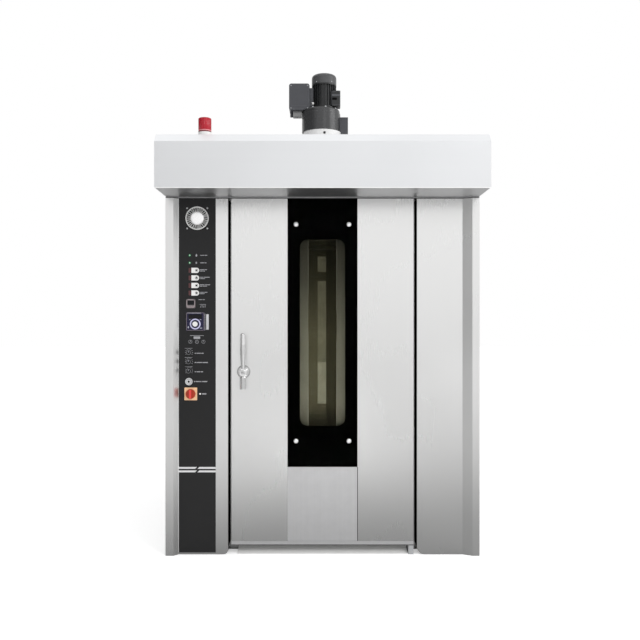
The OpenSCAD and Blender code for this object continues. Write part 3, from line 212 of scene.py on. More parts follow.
# %% Group: worn edge
tree, given, result = new_group("Worn Edge", {"Patchiness": 60.0}, ["Edge"])
rounded_normal = add_node(tree, "ShaderNodeBevel", samples=4, inputs={"Radius": 0.004})
true_normal = add_node(tree, "ShaderNodeNewGeometry").outputs["True Normal"]
alike = dot(tree, rounded_normal.outputs[0], true_normal)
edge = ramp(tree, calc(tree, "SUBTRACT", 1.0, alike), 0.02, 0.25, 0.0, 1.0)
patches = noise(tree, given["Vector"], given["Patchiness"])
feed_all(tree, result, Edge=times(tree, edge, ramp(tree, patches, 0.35, 0.65, 0.2, 1.0)))

# %% Group: dust from above
tree, given, result = new_group("Dust From Above", {"Amount": 0.3}, ["Dust"])
facing_up = z_of(tree, add_node(tree, "ShaderNodeNewGeometry").outputs["Normal"])
drifts = noise(tree, given["Vector"], 7.0, 4.0, 0.6)
lying = times(tree, ramp(tree, facing_up, 0.5, 0.95, 0.0, 1.0),
              ramp(tree, drifts, 0.3, 0.7, 0.3, 1.0))
feed_all(tree, result, Dust=times(tree, lying, given["Amount"]))

# %% Group: moulded skin
tree, given, result = new_group("Moulded Skin", {"Scale": 900.0}, ["Height", "Mottle"])
blotches = noise(tree, given["Vector"], 24.0, 3.0)
feed_all(tree, result, Height=noise(tree, given["Vector"], given["Scale"]),
         Mottle=calc(tree, "SUBTRACT", blotches, 0.5))

# %% Group: beyond a level
tree, given, result = new_group(
    "Beyond Level", {"Direction": (0, 0, 1), "Level": 0.0}, ["Beyond"])
along = dot(tree, given["Vector"], given["Direction"])
feed_all(tree, result, Beyond=calc(tree, "GREATER_THAN", along, given["Level"]))

# %% [markdown]
# ## Finishes
# Each finish is a material of its own: a Principled shader, Object coordinates, and the shared
# groups with values for that metal, paint or plastic. Object coordinates are metres in the oven's
# own frame, so a grain keeps its size on every piece. A finish is called by its name afterwards.

# %% Material helpers
def start_material(name):
    """A new material: (its tree, the inputs of its Principled shader, Object coordinates)."""
    material = bpy.data.materials.new(name)
    material.use_nodes = True
    tree = material.node_tree
    place = add_node(tree, "ShaderNodeTexCoord").outputs["Object"]
    return tree, tree.nodes["Principled BSDF"].inputs, place


def use_group(tree, group, place, **values):
    """The outputs of the named group, placed in tree with place as Vector and its own values."""
    made = add_node(tree, "ShaderNodeGroup", node_tree=bpy.data.node_groups[group])
    feed_all(tree, made.inputs, Vector=place, **values)
    return made.outputs


def tint(tree, colour, tone):
    """The colour times a tone that varies over the surface."""
    return add_node(tree, "ShaderNodeMix", data_type="RGBA", blend_type="MULTIPLY", inputs={
        0: 1.0, 6: (*colour, 1), 7: tone}).outputs[2]


def blend(tree, share, first, second):
    """From the first colour to the second, by share."""
    def as_colour(value):
        return (*value, 1) if isinstance(value, tuple) else value
    return add_node(tree, "ShaderNodeMix", data_type="RGBA", inputs={
        0: share, 6: as_colour(first), 7: as_colour(second)}).outputs[2]


def relief(tree, height, depth):
    """A Bump node: the normal of a surface whose height varies by depth metres."""
    return add_node(tree, "ShaderNodeBump", inputs={
        "Strength": 1.0, "Distance": depth, "Height": height}).outputs[0]


UPRIGHT, LEVEL = (420, 420, 3.5), (3.5, 420, 420)
print("material helpers ready")

# %% [markdown]
# ## Stainless steel
# Sheet steel is a metal with a rough, one-way finish. The grain moves the roughness and the tone
# by a few parts in a hundred, and a very small bump breaks up reflections. The same function makes
# the cladding, the canopy, the liner and the rack, which differ in colour, roughness and grain.

# %% Stainless finishes
def stainless(name, colour, roughness, grain=UPRIGHT, grain_depth=0.012, cloud=0.02,
              cloud_size=0.45, floor_tone=1.0, bump=0.00002, stain=None, stain_share=0.0):
    """A brushed metal. Its tone is cloud * painted floor reflection * (1 + grain); stain tints its
    clouds.
    """
    tree, shader, place = start_material(name)
    lines = use_group(tree, "Brushed Grain", place, Scale=grain)
    sheet = use_group(tree, "Cloudy Sheet", place, Size=cloud_size, Amount=cloud)
    # Painted reflection of the darker floor: the colour darkens towards the floor.
    painted_reflection = use_group(tree, "Painted Floor Reflection", place, Floor_Tone=floor_tone)["Tone"]
    tone = times(tree, times(tree, sheet["Tone"], painted_reflection),
                 straight(tree, lines["Grain"], grain_depth * 2, 1.0))
    base = tint(tree, colour, tone)
    if stain:
        spread = ramp(tree, sheet["Haze"], -0.2, 0.2, 0.0, stain_share)
        base = blend(tree, spread, base, stain)
    rough = straight(tree, lines["Grain"], 0.020, roughness)
    feed_all(tree, shader, Base_Color=base, Metallic=1.0,
             Roughness=straight(tree, sheet["Haze"], 0.08, rough),
             Normal=relief(tree, lines["Height"], bump))


stainless("satin_steel", (0.84, 0.84, 0.835), 0.28, floor_tone=0.45, grain_depth=0.006,
          bump=0.000003)
stainless("canopy_steel", (0.828, 0.838, 0.852), 0.42, grain=LEVEL, cloud=0.05, cloud_size=0.6)
stainless("soffit_steel", (0.51, 0.51, 0.515), 0.40, grain=LEVEL, bump=0.00001)
stainless("panel_steel", (0.76, 0.765, 0.77), 0.34, cloud=0.03, floor_tone=0.55)
stainless("lining_steel", (0.56, 0.54, 0.48), 0.38, cloud=0.05, cloud_size=0.3,
          stain=(0.34, 0.25, 0.13), stain_share=0.6)
stainless("rack_steel", (0.62, 0.62, 0.61), 0.26, cloud=0.04, cloud_size=0.12,
          stain=(0.40, 0.31, 0.19), stain_share=0.35)
stainless("cast_steel", (0.80, 0.80, 0.80), 0.14, grain_depth=0.02, cloud=0.01, bump=0.00001)
stainless("castor_zinc", (0.58, 0.59, 0.60), 0.36, cloud=0.08, cloud_size=0.02)
stainless("trim_silver", (0.84, 0.84, 0.85), 0.30, grain=LEVEL, cloud=0.01)
stainless("heater_sheath", (0.16, 0.13, 0.11), 0.50, cloud=0.08, cloud_size=0.06,
          stain=(0.22, 0.12, 0.06), stain_share=0.7)
print("stainless finishes:", len(bpy.data.materials))

# %% [markdown]
# ## Paint, plastic, rubber
# A painted casting is a dielectric with a slightly wavy skin, bare metal on its worn edges and
# dust on top. Moulded plastic and rubber are the same kind of surface without the bare edges. One
# function makes both: it only differs in whether edges wear.

# %% Painted and moulded finishes
BARE_METAL, DUST = (0.45, 0.45, 0.46), (0.42, 0.40, 0.36)


def coated(name, colour, roughness, specular=0.4, wear=0.0, dust=0.0, skin=900.0,
           skin_depth=0.0001, mottle=0.12, coat=0.0):
    """A painted or moulded surface: colour * (1 + mottle), worn to metal at edges, dust on top."""
    tree, shader, place = start_material(name)
    surface = use_group(tree, "Moulded Skin", place, Scale=skin)
    base = tint(tree, colour, straight(tree, surface["Mottle"], mottle * 2, 1.0))
    if wear:
        edge = times(tree, use_group(tree, "Worn Edge", place)["Edge"], wear)
        base = blend(tree, edge, base, BARE_METAL)
    if dust:
        share = use_group(tree, "Dust From Above", place, Amount=dust)["Dust"]
        base = blend(tree, share, base, DUST)
    feed_all(tree, shader, Base_Color=base, Specular_IOR_Level=specular, Coat_Weight=coat,
             Roughness=straight(tree, surface["Mottle"], 0.2, roughness),
             Normal=relief(tree, surface["Height"], skin_depth))


coated("black_panel", (0.015, 0.015, 0.0155), 0.34, specular=0.22, mottle=0.06)
coated("black_plastic", (0.012, 0.012, 0.013), 0.42, specular=0.3)
coated("grey_plastic", (0.11, 0.105, 0.105), 0.45, specular=0.3)
coated("guard_plastic", (0.72, 0.72, 0.71), 0.40, mottle=0.03)
coated("white_plastic", (0.80, 0.80, 0.79), 0.30, coat=0.2, mottle=0.03)
coated("switch_yellow", (0.86, 0.54, 0.31), 0.35, coat=0.2, mottle=0.08)
coated("drive_white", (0.80, 0.80, 0.80), 0.35, wear=0.4, dust=0.1, mottle=0.04)
coated("gearbox_grey", (0.036, 0.037, 0.039), 0.29, specular=0.60, wear=0.25, dust=0.12,
       skin=500.0)
coated("fan_motor_grey", (0.075, 0.082, 0.09), 0.40, wear=0.25, dust=0.25)
coated("inverter_grey", (0.072, 0.074, 0.082), 0.40, specular=0.3, dust=0.1)
coated("navy_face", (0.014, 0.013, 0.045), 0.30, specular=0.3, mottle=0.1)
coated("seal_rubber", (0.008, 0.008, 0.008), 0.7, specular=0.15, skin=300.0, skin_depth=0.0003)
coated("castor_tread", (0.030, 0.027, 0.024), 0.6, specular=0.3, skin=200.0, skin_depth=0.0004,
       mottle=0.3)
print("finishes so far:", len(bpy.data.materials))

# %% [markdown]
# ## Finishes with two colours
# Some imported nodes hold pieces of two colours, such as the printed layer behind the door's glass
# and the steel panel below it. The model's own mesh stays untouched, so the colour changes where
# the Object coordinates pass a level that comes from the frame. The baffle behind the window also
# gets a shade over its height, because the light inside a closed chamber falls off up and down.

# %% Two-colour helper
def two_coats(name, direction, level, near, far, roughness=(0.4, 0.4), metallic=(0.0, 0.0),
              specular=0.4, shade=None):
    """Colour, roughness and metal change from near to far where direction . place passes level.
    With shade, the tone rises over the first pair of heights and falls over the second."""
    tree, shader, place = start_material(name)
    beyond = use_group(tree, "Beyond Level", place, Direction=direction, Level=level)["Beyond"]
    surface = use_group(tree, "Moulded Skin", place, Scale=700.0)
    lines = use_group(tree, "Brushed Grain", place, Scale=UPRIGHT)
    tone = times(tree, straight(tree, surface["Mottle"], 0.1, 1.0),
                 straight(tree, lines["Grain"], 0.1, 1.0))
    if shade:
        z = straight(tree, surface["Mottle"], 0.08, z_of(tree, place))
        rise, fall = ramp(tree, z, *shade[0], 0.25, 1.0), ramp(tree, z, *shade[1], 1.0, 0.30)
        tone = times(tree, tone, times(tree, rise, fall))

    def either(first, second):
        return first if first == second else straight(tree, beyond, second - first, first)

    feed_all(tree, shader, Roughness=either(*roughness), Metallic=either(*metallic),
             Base_Color=blend(tree, beyond, tint(tree, near, tone), tint(tree, far, tone)),
             Normal=relief(tree, surface["Height"], 0.00005), Specular_IOR_Level=specular)


RIGHT, UP, FORWARD = (1, 0, 0), (0, 0, 1), (0, -1, 0)
COWL_HEIGHT, KNOB_FOOT, STRIP_RIGHT = 0.066, 0.012, 0.030
glass_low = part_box("door_glass")[0].z
cowl_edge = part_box("drive_motor")[1].z - COWL_HEIGHT
lamp_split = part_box("switch_key_1")[1].z + 0.008
knob_front = KNOB_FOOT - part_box("main_switch_plate")[0].y
ramp_back = -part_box("door_frame")[0].y
two_coats("inset_panels", UP, glass_low, (0.54, 0.54, 0.545), (0.001, 0.001, 0.001),
          roughness=(0.28, 0.6), metallic=(1.0, 0.0), specular=0.02)
two_coats("motor_grey", UP, cowl_edge, (0.016, 0.017, 0.018), (0.070, 0.071, 0.074),
          roughness=(0.36, 0.40), specular=0.5)
two_coats("lamp_lens", UP, lamp_split, (0.085, 0.030, 0.032), (0.02, 0.13, 0.055),
          roughness=(0.3, 0.2))
two_coats("switch_red", FORWARD, knob_front, (0.36, 0.035, 0.010), (0.72, 0.06, 0.055),
          roughness=(0.35, 0.3))
two_coats("floor_steel", FORWARD, ramp_back, (0.50, 0.48, 0.43), (0.88, 0.88, 0.87),
          roughness=(0.38, 0.6), metallic=(1.0, 0.0))
# Painted shade: right of its middle strip the baffle takes a darker copy of its colour.
two_coats("baffle_steel", RIGHT, STRIP_RIGHT, (0.20, 0.19, 0.14), (0.095, 0.089, 0.065),
          roughness=(0.55, 0.55), specular=0.3, shade=((0.52, 0.66), (1.08, 1.74)))
print("finishes so far:", len(bpy.data.materials))

# %% [markdown]
# ## Glass and lens
# Toughened oven glass is faintly brown-green and, over the printed layer, reads as black. The
# beacon's dome is a red plastic that lets some light through, so its rim glows where the lamp
# stands behind it. Transmission stays a plain number on the shader, as glass needs.

# %% Glass and red lens
def clear(name, colour, roughness, transmission, specular, ior):
    """A transparent finish with a faint smear in its roughness."""
    tree, shader, place = start_material(name)
    smear = use_group(tree, "Cloudy Sheet", place, Size=0.12, Amount=0.05)
    feed_all(tree, shader, Base_Color=tint(tree, colour, smear["Tone"]),
             Roughness=straight(tree, smear["Haze"], roughness * 0.5, roughness),
             Transmission_Weight=transmission, Specular_IOR_Level=specular, IOR=ior)


clear("window_glass", (0.62, 0.615, 0.54), 0.01, 1.0, 0.5, 1.06)
clear("red_lens", (0.54, 0.018, 0.036), 0.25, 0.25, 0.4, 1.45)
print("finishes so far:", len(bpy.data.materials))

# %% Put every finish on its nodes
special = {"floor_pan": "floor_steel", "rear_baffle": "baffle_steel"}
for part in frame["record"]["subparts"]:
    name = part["node"]
    dress = special.get(name, part["material_slot"])
    nodes[name].data.materials.append(bpy.data.materials[dress])
print("dressed", len(nodes), "nodes")

# %% [markdown]
# ## Surfaces worked out with numpy
# A piece is a function of two parameters, sampled on a grid, or a flat outline given a thickness.
# Whole arrays go into the mesh at once. Every shape below is made from these three builders: a
# grid, a turned profile and a cut plate.

# %% Surface builders
def grid_faces(index, wrap_u, wrap_v):
    """Quads between neighbours of an index grid, round the seam where a direction wraps."""
    if wrap_u:
        index = np.vstack([index, index[:1]])
    if wrap_v:
        index = np.hstack([index, index[:, :1]])
    corners = (index[:-1, :-1], index[1:, :-1], index[1:, 1:], index[:-1, 1:])
    return np.stack(corners, axis=-1).reshape(-1, 4).tolist()


def sweep(places, wrap_u=False, wrap_v=False):
    """A grid of places (rows, columns, 3) as (vertices, faces)."""
    rows, columns = places.shape[:2]
    index = np.arange(rows * columns).reshape(rows, columns)
    return places.reshape(-1, 3), grid_faces(index, wrap_u, wrap_v)


def turned(profile, centre, axis="y", steps=32):
    """A profile of (radius, height) pairs carried round an axis through centre.
    Place = centre + radius * (cos a, sin a) across the axis + height along it."""
    radius, height = np.array(profile, float).T
    angle = np.linspace(0, 2 * np.pi, steps, endpoint=False)[:, None]
    across, up = radius * np.cos(angle), radius * np.sin(angle)
    along = height + 0 * angle
    order = {"y": (across, along, up), "z": (across, up, along), "x": (along, across, up)}
    return sweep(np.stack(order[axis], axis=-1) + np.array(centre), wrap_u=True)


def cut_plate(outline, y_front, y_back):
    """A flat outline of (x, z) points, given thickness from y_front to y_back."""
    outline = np.array(outline, float)
    count = len(outline)
    fronts = np.insert(outline, 1, y_front, axis=1)
    backs = np.insert(outline, 1, y_back, axis=1)
    index = np.arange(count)
    after = np.roll(index, -1)
    sides = np.stack([index, after, after + count, index + count], axis=-1).tolist()
    return np.vstack([fronts, backs]), [*sides, index[::-1].tolist(), (index + count).tolist()]


def slab(low, high):
    """A block between two corners, as a cut plate."""
    (x0, y0, z0), (x1, y1, z1) = low, high
    return cut_plate([(x0, z0), (x1, z0), (x1, z1), (x0, z1)], y0, y1)


def joined(shapes):
    """Several (vertices, faces) as one."""
    vertices, faces, start = [], [], 0
    for points, polygons in shapes:
        vertices.append(points)
        faces += [[i + start for i in polygon] for polygon in polygons]
        start += len(points)
    return np.vstack(vertices), faces


print("surface builders ready")

# %% One piece from its shapes
SMOOTH_ANGLE = math.radians(35)


def make_piece(name, shapes, material, body="cabinet"):
    """One mesh object from its shapes: doubles merged, faces outwards, riding on its body."""
    vertices, faces = joined(shapes)
    mesh = bpy.data.meshes.new(name)
    mesh.from_pydata(vertices.tolist(), [], faces)
    work = bmesh.new()
    work.from_mesh(mesh)
    bmesh.ops.remove_doubles(work, verts=work.verts, dist=1e-6)
    bmesh.ops.dissolve_degenerate(work, edges=work.edges, dist=1e-7)
    bmesh.ops.recalc_face_normals(work, faces=work.faces)
    work.to_mesh(mesh)
    work.free()
    mesh.polygons.foreach_set("use_smooth", np.ones(len(mesh.polygons), bool))
    mesh.set_sharp_from_angle(angle=SMOOTH_ANGLE)
    mesh.materials.append(bpy.data.materials[material])
    piece = bpy.data.objects.new(name, mesh)
    scene.collection.objects.link(piece)
    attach(piece, body)
    print(name, "faces:", len(mesh.polygons))


print("pieces can be made")


# %% Flat outlines
def rounded_bar(x, z, width, height, corner=None, steps=5):
    """Outline of a bar with round corners: four quarter circles joined by straight lines."""
    corner = min(width, height) / 2 if corner is None else corner
    angle = np.linspace(0, np.pi / 2, steps)
    turns = angle + np.array([[0], [1], [2], [3]]) * np.pi / 2
    side = np.array([[1, 1], [-1, 1], [-1, -1], [1, -1]])
    centre = side * (np.array([width, height]) / 2 - corner)
    xs = x + centre[:, :1] + corner * np.cos(turns)
    zs = z + centre[:, 1:] + corner * np.sin(turns)
    return np.stack([xs, zs], axis=-1).reshape(-1, 2)


def band(x, z, inner, outer, start, stop, steps=16):
    """Outline of part of a ring, from start to stop degrees, counted from +X towards +Z."""
    angle = np.radians(np.linspace(start, stop, steps))
    ray = np.stack([np.cos(angle), np.sin(angle)], axis=-1)
    return np.vstack([ray * outer, ray[::-1] * inner]) + np.array([x, z])


print("outlines ready")

# %% [markdown]
# ## Domes, bolts and rings
# Most small fittings are turned: a dome for caps and rivets, a six-sided prism with a chamfer for
# bolt heads, a torus for rings. Each function gives the profile, and one builder carries it round
# the axis that faces out of the sheet. SINK is how far a fitting reaches into what carries it.

# %% Turned fittings
AXES = {"-y": ("y", -1), "+y": ("y", 1), "-x": ("x", -1), "+x": ("x", 1), "+z": ("z", 1)}
SINK = 0.0004


def fitting(profile, place, facing="-y", steps=24):
    """A profile of (radius, height out of the sheet) turned about the axis it faces along."""
    axis, out = AXES[facing]
    return turned(np.array(profile) * [1, out], place, axis, steps)


def dome(place, radius, rise, facing="-y", steps=24, rings=6):
    """Half an ellipsoid: radius * cos(t) across, rise * sin(t) out, closed by a flat back."""
    turn = np.linspace(np.pi / 2, 0, rings)
    profile = np.stack([radius * np.cos(turn), rise * np.sin(turn)], axis=-1)
    return fitting(np.vstack([profile, [[radius, -SINK], [0, -SINK]]]), place, facing, steps)


def hex_head(place, radius, height, facing="+z"):
    """A six-sided bolt head on a round washer."""
    washer = [(radius * 1.35, -SINK), (radius * 1.35, height * 0.2), (radius, height * 0.2)]
    head = [(radius, height * 0.85), (radius * 0.85, height), (0, height)]
    low = fitting([(0, -SINK), *washer, (0, height * 0.2)], place, facing, 20)
    return joined([low, fitting([(0, height * 0.15), (radius, height * 0.15), *head],
                                place, facing, 6)])


def ring(place, middle_radius, thickness, rise=None, steps=40, sides=10):
    """A torus that faces the camera: (middle + thickness / 2 * cos(t), rise * sin(t)) turned
    once, where rise is half the thickness unless it is given."""
    turn = np.linspace(0, 2 * np.pi, sides, endpoint=False)
    across = middle_radius + thickness / 2 * np.cos(turn)
    profile = np.stack([across, (rise or thickness / 2) * np.sin(turn)], axis=-1)
    places, _ = fitting(profile, place, steps=steps)
    return sweep(places.reshape(steps, -1, 3), wrap_u=True, wrap_v=True)


print("fittings ready")

# %% [markdown]
# ## The prints on the control column
# The real column is printed with lettering. Here plain bars and small pictograms stand in its
# place, at the same scale. Each print stands a third of a millimetre proud, so it catches light
# like real ink on a panel, and each row finds its place from the key or lamp beside it.

# %% Places on the column
PRINT = 0.0003
panel_low, panel_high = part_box("control_panels")
COLUMN = panel_low.y


def middle(node):
    """Centre of a node's box."""
    low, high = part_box(node)
    return (low + high) / 2


def ink(outline):
    """A print on the column's face."""
    return cut_plate(outline, COLUMN - PRINT, COLUMN + PRINT)


def bar(x, z, width, height, corner=None):
    """A printed bar with round corners."""
    return ink(rounded_bar(x, z, width, height, corner))


def words(x, z, widths, height=0.0035, gap=0.0025):
    """A row of plain bars, one for each width, from x to the right."""
    starts = x + np.cumsum([0, *widths[:-1]]) + gap * np.arange(len(widths))
    return [bar(start + width / 2, z, width, height, height * 0.3)
            for start, width in zip(starts, widths)]


key_places = [middle(f"switch_key_{i}") for i in (1, 2, 3, 4)]
ROW = key_places[0].z - key_places[1].z
label_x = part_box("switch_key_1")[1].x + 0.004
print("row pitch:", round(ROW, 4))

# %% Labels beside lamps and keys
marks = []
lamp_rows = [key_places[0].z + 2 * ROW, key_places[0].z + ROW]
for z, widths in zip(lamp_rows, ([0.020, 0.014], [0.020, 0.010])):
    marks += words(label_x + 0.001, z, widths)
key_words = [([0.020, 0.014], [0.014, 0.009]), ([0.018, 0.030], [0.026]),
             ([0.022, 0.028], [0.012, 0.022]), ([0.020, 0.016], [0.024])]
for place, (upper, lower) in zip(key_places, key_words):
    marks += words(label_x, place.z + 0.0035, upper)
    marks += words(label_x, place.z - 0.0035, lower)
icon_x = key_places[0].x + 0.005
flame = [(0, 0.009), (0.004, 0.002), (0.0045, -0.003), (0.002, -0.0065), (-0.002, -0.0065),
         (-0.0045, -0.003), (-0.003, 0.001)]
marks.append(ink(np.array(flame) + [icon_x, lamp_rows[0]]))
marks.append(bar(icon_x, lamp_rows[1], 0.008, 0.010, 0.003))
print("marks:", len(marks))

# %% Pictograms round the timer and the controller
timer_low, timer_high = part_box("timer_module")
control_low, control_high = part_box("controller_module")
timer_mid = (timer_low.z + timer_high.z) / 2
marks += words(timer_high.x + 0.016, timer_high.z - 0.003, [0.018, 0.012], 0.0032)
sign_x, sign_z = timer_high.x + 0.026, timer_mid - 0.014
SLASH = np.array([(-0.001, -0.006), (0.001, -0.006), (0.005, 0.006), (0.003, 0.006)])
marks += [ink(SLASH + [sign_x + i * 0.0075, sign_z]) for i in range(4)]
marks.append(bar(sign_x + 0.012, sign_z + 0.010, 0.034, 0.0018))
control_x = (control_low.x + control_high.x) / 2
SMALL_ROUND = 0.0095
round_x, round_z = control_x + 0.008, control_low.z - 0.057
marks.append(bar(round_x, control_low.z - 0.025, 0.072, 0.002))
marks.append(bar(round_x, control_low.z - 0.036, 0.034, 0.013, 0.003))
for x in (round_x - 0.034, round_x, round_x + 0.034):
    marks.append(ink(band(x, round_z, SMALL_ROUND - 0.0016, SMALL_ROUND, 50, 400)))
    marks.append(bar(x, round_z + 0.002, 0.0016, 0.011))
print("marks:", len(marks))

# %% Tick arcs and labels of the knobs
knob_places = [middle(f"rotary_knob_{i}") for i in (1, 2, 3)]
knob_words = [[0.008, 0.022, 0.012], [0.010, 0.026, 0.028], [0.009, 0.018, 0.012]]
for knob, widths in zip(knob_places, knob_words):
    marks += [ink(band(knob.x, knob.z, 0.0160, 0.0200, angle - 4, angle + 4, 4))
              for angle in range(-30, 211, 30)]
    marks.append(bar(knob.x - 0.002, knob.z + 0.022, 0.040, 0.0016))
    marks += words(knob.x + 0.029, knob.z - 0.004, widths, 0.0045)
button_place = middle("push_button")
marks += words(button_place.x + 0.025, button_place.z, [0.007, 0.030, 0.028], 0.005)
switch_z = middle("main_switch_plate").z
lamp_x = key_places[0].x + 0.025
marks += words(lamp_x + 0.010, switch_z, [0.022], 0.007)
coated("printed_grey", (0.34, 0.34, 0.36), 0.5, mottle=0.6)
make_piece("panel_marks", marks, "printed_grey")

# %% [markdown]
# ## Screws
# A cross-head screw is one function on a polar grid: a low dome whose height drops inside two
# crossed bars. The same function serves every screw on the oven, at its own size and place.

# %% Cross-head screw
SCREW_RISE, CROSS_HALF, CROSS_END, CROSS_STEP = 0.35, 0.17, 0.65, 0.21


def cross_screw(place, radius, rings=7, steps=24):
    """Height = radius * SCREW_RISE * sqrt(1 - r^2), r from 0 to 1, less a step inside the cross.
    The cross is where |x| or |z| is under CROSS_HALF, out to CROSS_END, both in radii."""
    r = np.linspace(1, 0, rings)[None, :]
    angle = np.linspace(0, 2 * np.pi, steps, endpoint=False)[:, None]
    x, z = r * np.cos(angle), r * np.sin(angle)
    lift = SCREW_RISE * np.sqrt(np.clip(1 - r ** 2, 0, None)) + 0 * angle
    cross = (np.minimum(abs(x), abs(z)) < CROSS_HALF) & (r < CROSS_END)
    lift = np.where(cross, lift - CROSS_STEP, lift)
    return sweep(np.stack([x, -lift, z], axis=-1) * radius + np.array(place), wrap_u=True)


guard_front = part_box("fan_guard")[0].y
guard = middle("fan_guard")
SCREW_HALF_PITCH = 0.0525
corners = [(sx, sz) for sx in (-1, 1) for sz in (-1, 1)]
make_piece("guard_screws", [
    cross_screw((guard.x + sx * SCREW_HALF_PITCH, COLUMN, guard.z + sz * SCREW_HALF_PITCH), 0.0048)
    for sx, sz in corners], "castor_zinc")

# %% [markdown]
# ## Faces of the instruments
# The timer and the controller are boxes with a printed front. Thin plates give them their display,
# keys and rings. The dial's ring is a flat torus round the dial.

# %% Timer and controller fronts
def face_plate(node, dx, dz, width, height, corner=0.001, lift=0.0005):
    """A plate on a node's front, dx and dz from its middle, lift in front of it."""
    low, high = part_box(node)
    x, z = (low.x + high.x) / 2 + dx, (low.z + high.z) / 2 + dz
    return cut_plate(rounded_bar(x, z, width, height, corner), low.y - lift, low.y + PRINT)


coated("rose_grey", (0.27, 0.225, 0.235), 0.4, mottle=0.3)
coated("display_black", (0.004, 0.004, 0.006), 0.15, specular=0.2)
coated("pale_print", (0.42, 0.43, 0.50), 0.45, mottle=0.3)
RIM_IN, RIM_LONG, RIM_WIDE = 0.0035, 0.046, 0.005
timer_rim = [cut_plate(rounded_bar(x, z, w, h, 0.001), timer_low.y - 0.0006, timer_low.y + PRINT)
             for x, z, w, h in (
                 (timer_low.x + RIM_IN, timer_mid, RIM_WIDE, RIM_LONG),
                 (timer_high.x - RIM_IN, timer_mid, RIM_WIDE, RIM_LONG),
                 (timer_low.x + 0.024, timer_high.z - RIM_IN, RIM_LONG, RIM_WIDE),
                 (timer_low.x + 0.024, timer_low.z + RIM_IN, RIM_LONG, RIM_WIDE))]
timer_keys = [face_plate("timer_module", dx, -0.014, 0.009, 0.009, 0.0015, 0.0008)
              for dx in (-0.015, -0.005, 0.005, 0.015)]
make_piece("timer_front", timer_rim + timer_keys, "rose_grey")
make_piece("control_display", [face_plate("controller_module", 0.0, 0.026, 0.070, 0.022, 0.002),
                               face_plate("timer_module", 0.0, 0.005, 0.034, 0.021, 0.002)],
           "display_black")
make_piece("control_prints", [face_plate("controller_module", *at_and_size) for at_and_size in (
    (-0.006, 0.0445, 0.072, 0.0035), (-0.036, -0.030, 0.006, 0.010), (0.030, -0.034, 0.012, 0.004),
    (-0.028, 0.010, 0.007, 0.003), (0.028, 0.010, 0.007, 0.003))], "pale_print")

# %% Ring of the dial and the side scale
dial = middle("controller_dial")
RING_INNER, RING_OUTER, RING_RISE = 0.0215, 0.0280, 0.0012
coated("lavender_print", (0.56, 0.55, 0.78), 0.4, mottle=0.1)
make_piece("dial_ring", [ring((dial.x, control_low.y, dial.z), (RING_INNER + RING_OUTER) / 2,
                              RING_OUTER - RING_INNER, RING_RISE, sides=12)],
           "lavender_print")
scale_x, scale_z = control_high.x + 0.015, control_low.z + 0.046
coated("strip_print", (0.55, 0.55, 0.57), 0.5, mottle=0.5)
make_piece("scale_strip", [bar(scale_x, scale_z, 0.013, 0.080, 0.002),
                           bar(scale_x - 0.013, scale_z, 0.0018, 0.086, 0.0005)],
           "strip_print")

# %% [markdown]
# ## Guard, keys, knobs and button
# The fan guard carries a bright domed disc. Each key has a dark round lens at its right end, which
# rides with the key, and each knob a pale pointer and a grey ring, which turn with the knob. The
# ring button has a dark centre and a zinc rim.

# %% Fittings of the control column
DISC_RADIUS, DISC_RISE, LENS_X = 0.0345, 0.0015, 0.0065
# White of the lamp and the plug, and the painted highlight on the canopy's edge.
coated("white_and_painted_highlight", (0.93, 0.93, 0.92), 0.35, coat=0.3, mottle=0.02)
stainless("disc_steel", (0.98, 0.98, 0.98), 0.22, grain_depth=0.01, cloud=0.01)
make_piece("guard_disc", [dome((guard.x, guard_front, guard.z), DISC_RADIUS, DISC_RISE,
                               rings=8, steps=48)], "disc_steel")
coated("knob_grey", (0.13, 0.13, 0.135), 0.4, mottle=0.4)
coated("lens_dark", (0.02, 0.018, 0.018), 0.2, specular=0.5, coat=0.4)
key_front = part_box("switch_key_1")[0].y
for number, place in enumerate(key_places, 1):
    lens_place = (place.x + LENS_X, key_front + 0.001, place.z)
    make_piece(f"key_lens_{number}", [ring(lens_place, 0.0072, 0.0012, steps=28, sides=6),
                                      dome(lens_place, 0.0048, 0.0014, rings=4, steps=20)],
               "lens_dark", f"key_{number}")
knob_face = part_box("rotary_knob_1")[0].y
for number, place in enumerate(knob_places, 1):
    pointer = cut_plate(rounded_bar(place.x, place.z + 0.0045, 0.0018, 0.008),
                        knob_face - 0.0004, knob_face + 0.0006)
    make_piece(f"knob_pointer_{number}", [pointer], "pale_print",
               f"knob_{number}")
    make_piece(f"knob_ring_{number}", [ring((place.x, knob_face, place.z), 0.0105, 0.003)],
               "knob_grey", f"knob_{number}")
button_face = (button_place.x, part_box("push_button")[0].y, button_place.z)
make_piece("button_centre", [dome(button_face, 0.0060, 0.0015)], "lens_dark",
           "button")
make_piece("button_rim", [ring(button_face, 0.0122, 0.003)], "castor_zinc",
           "button")
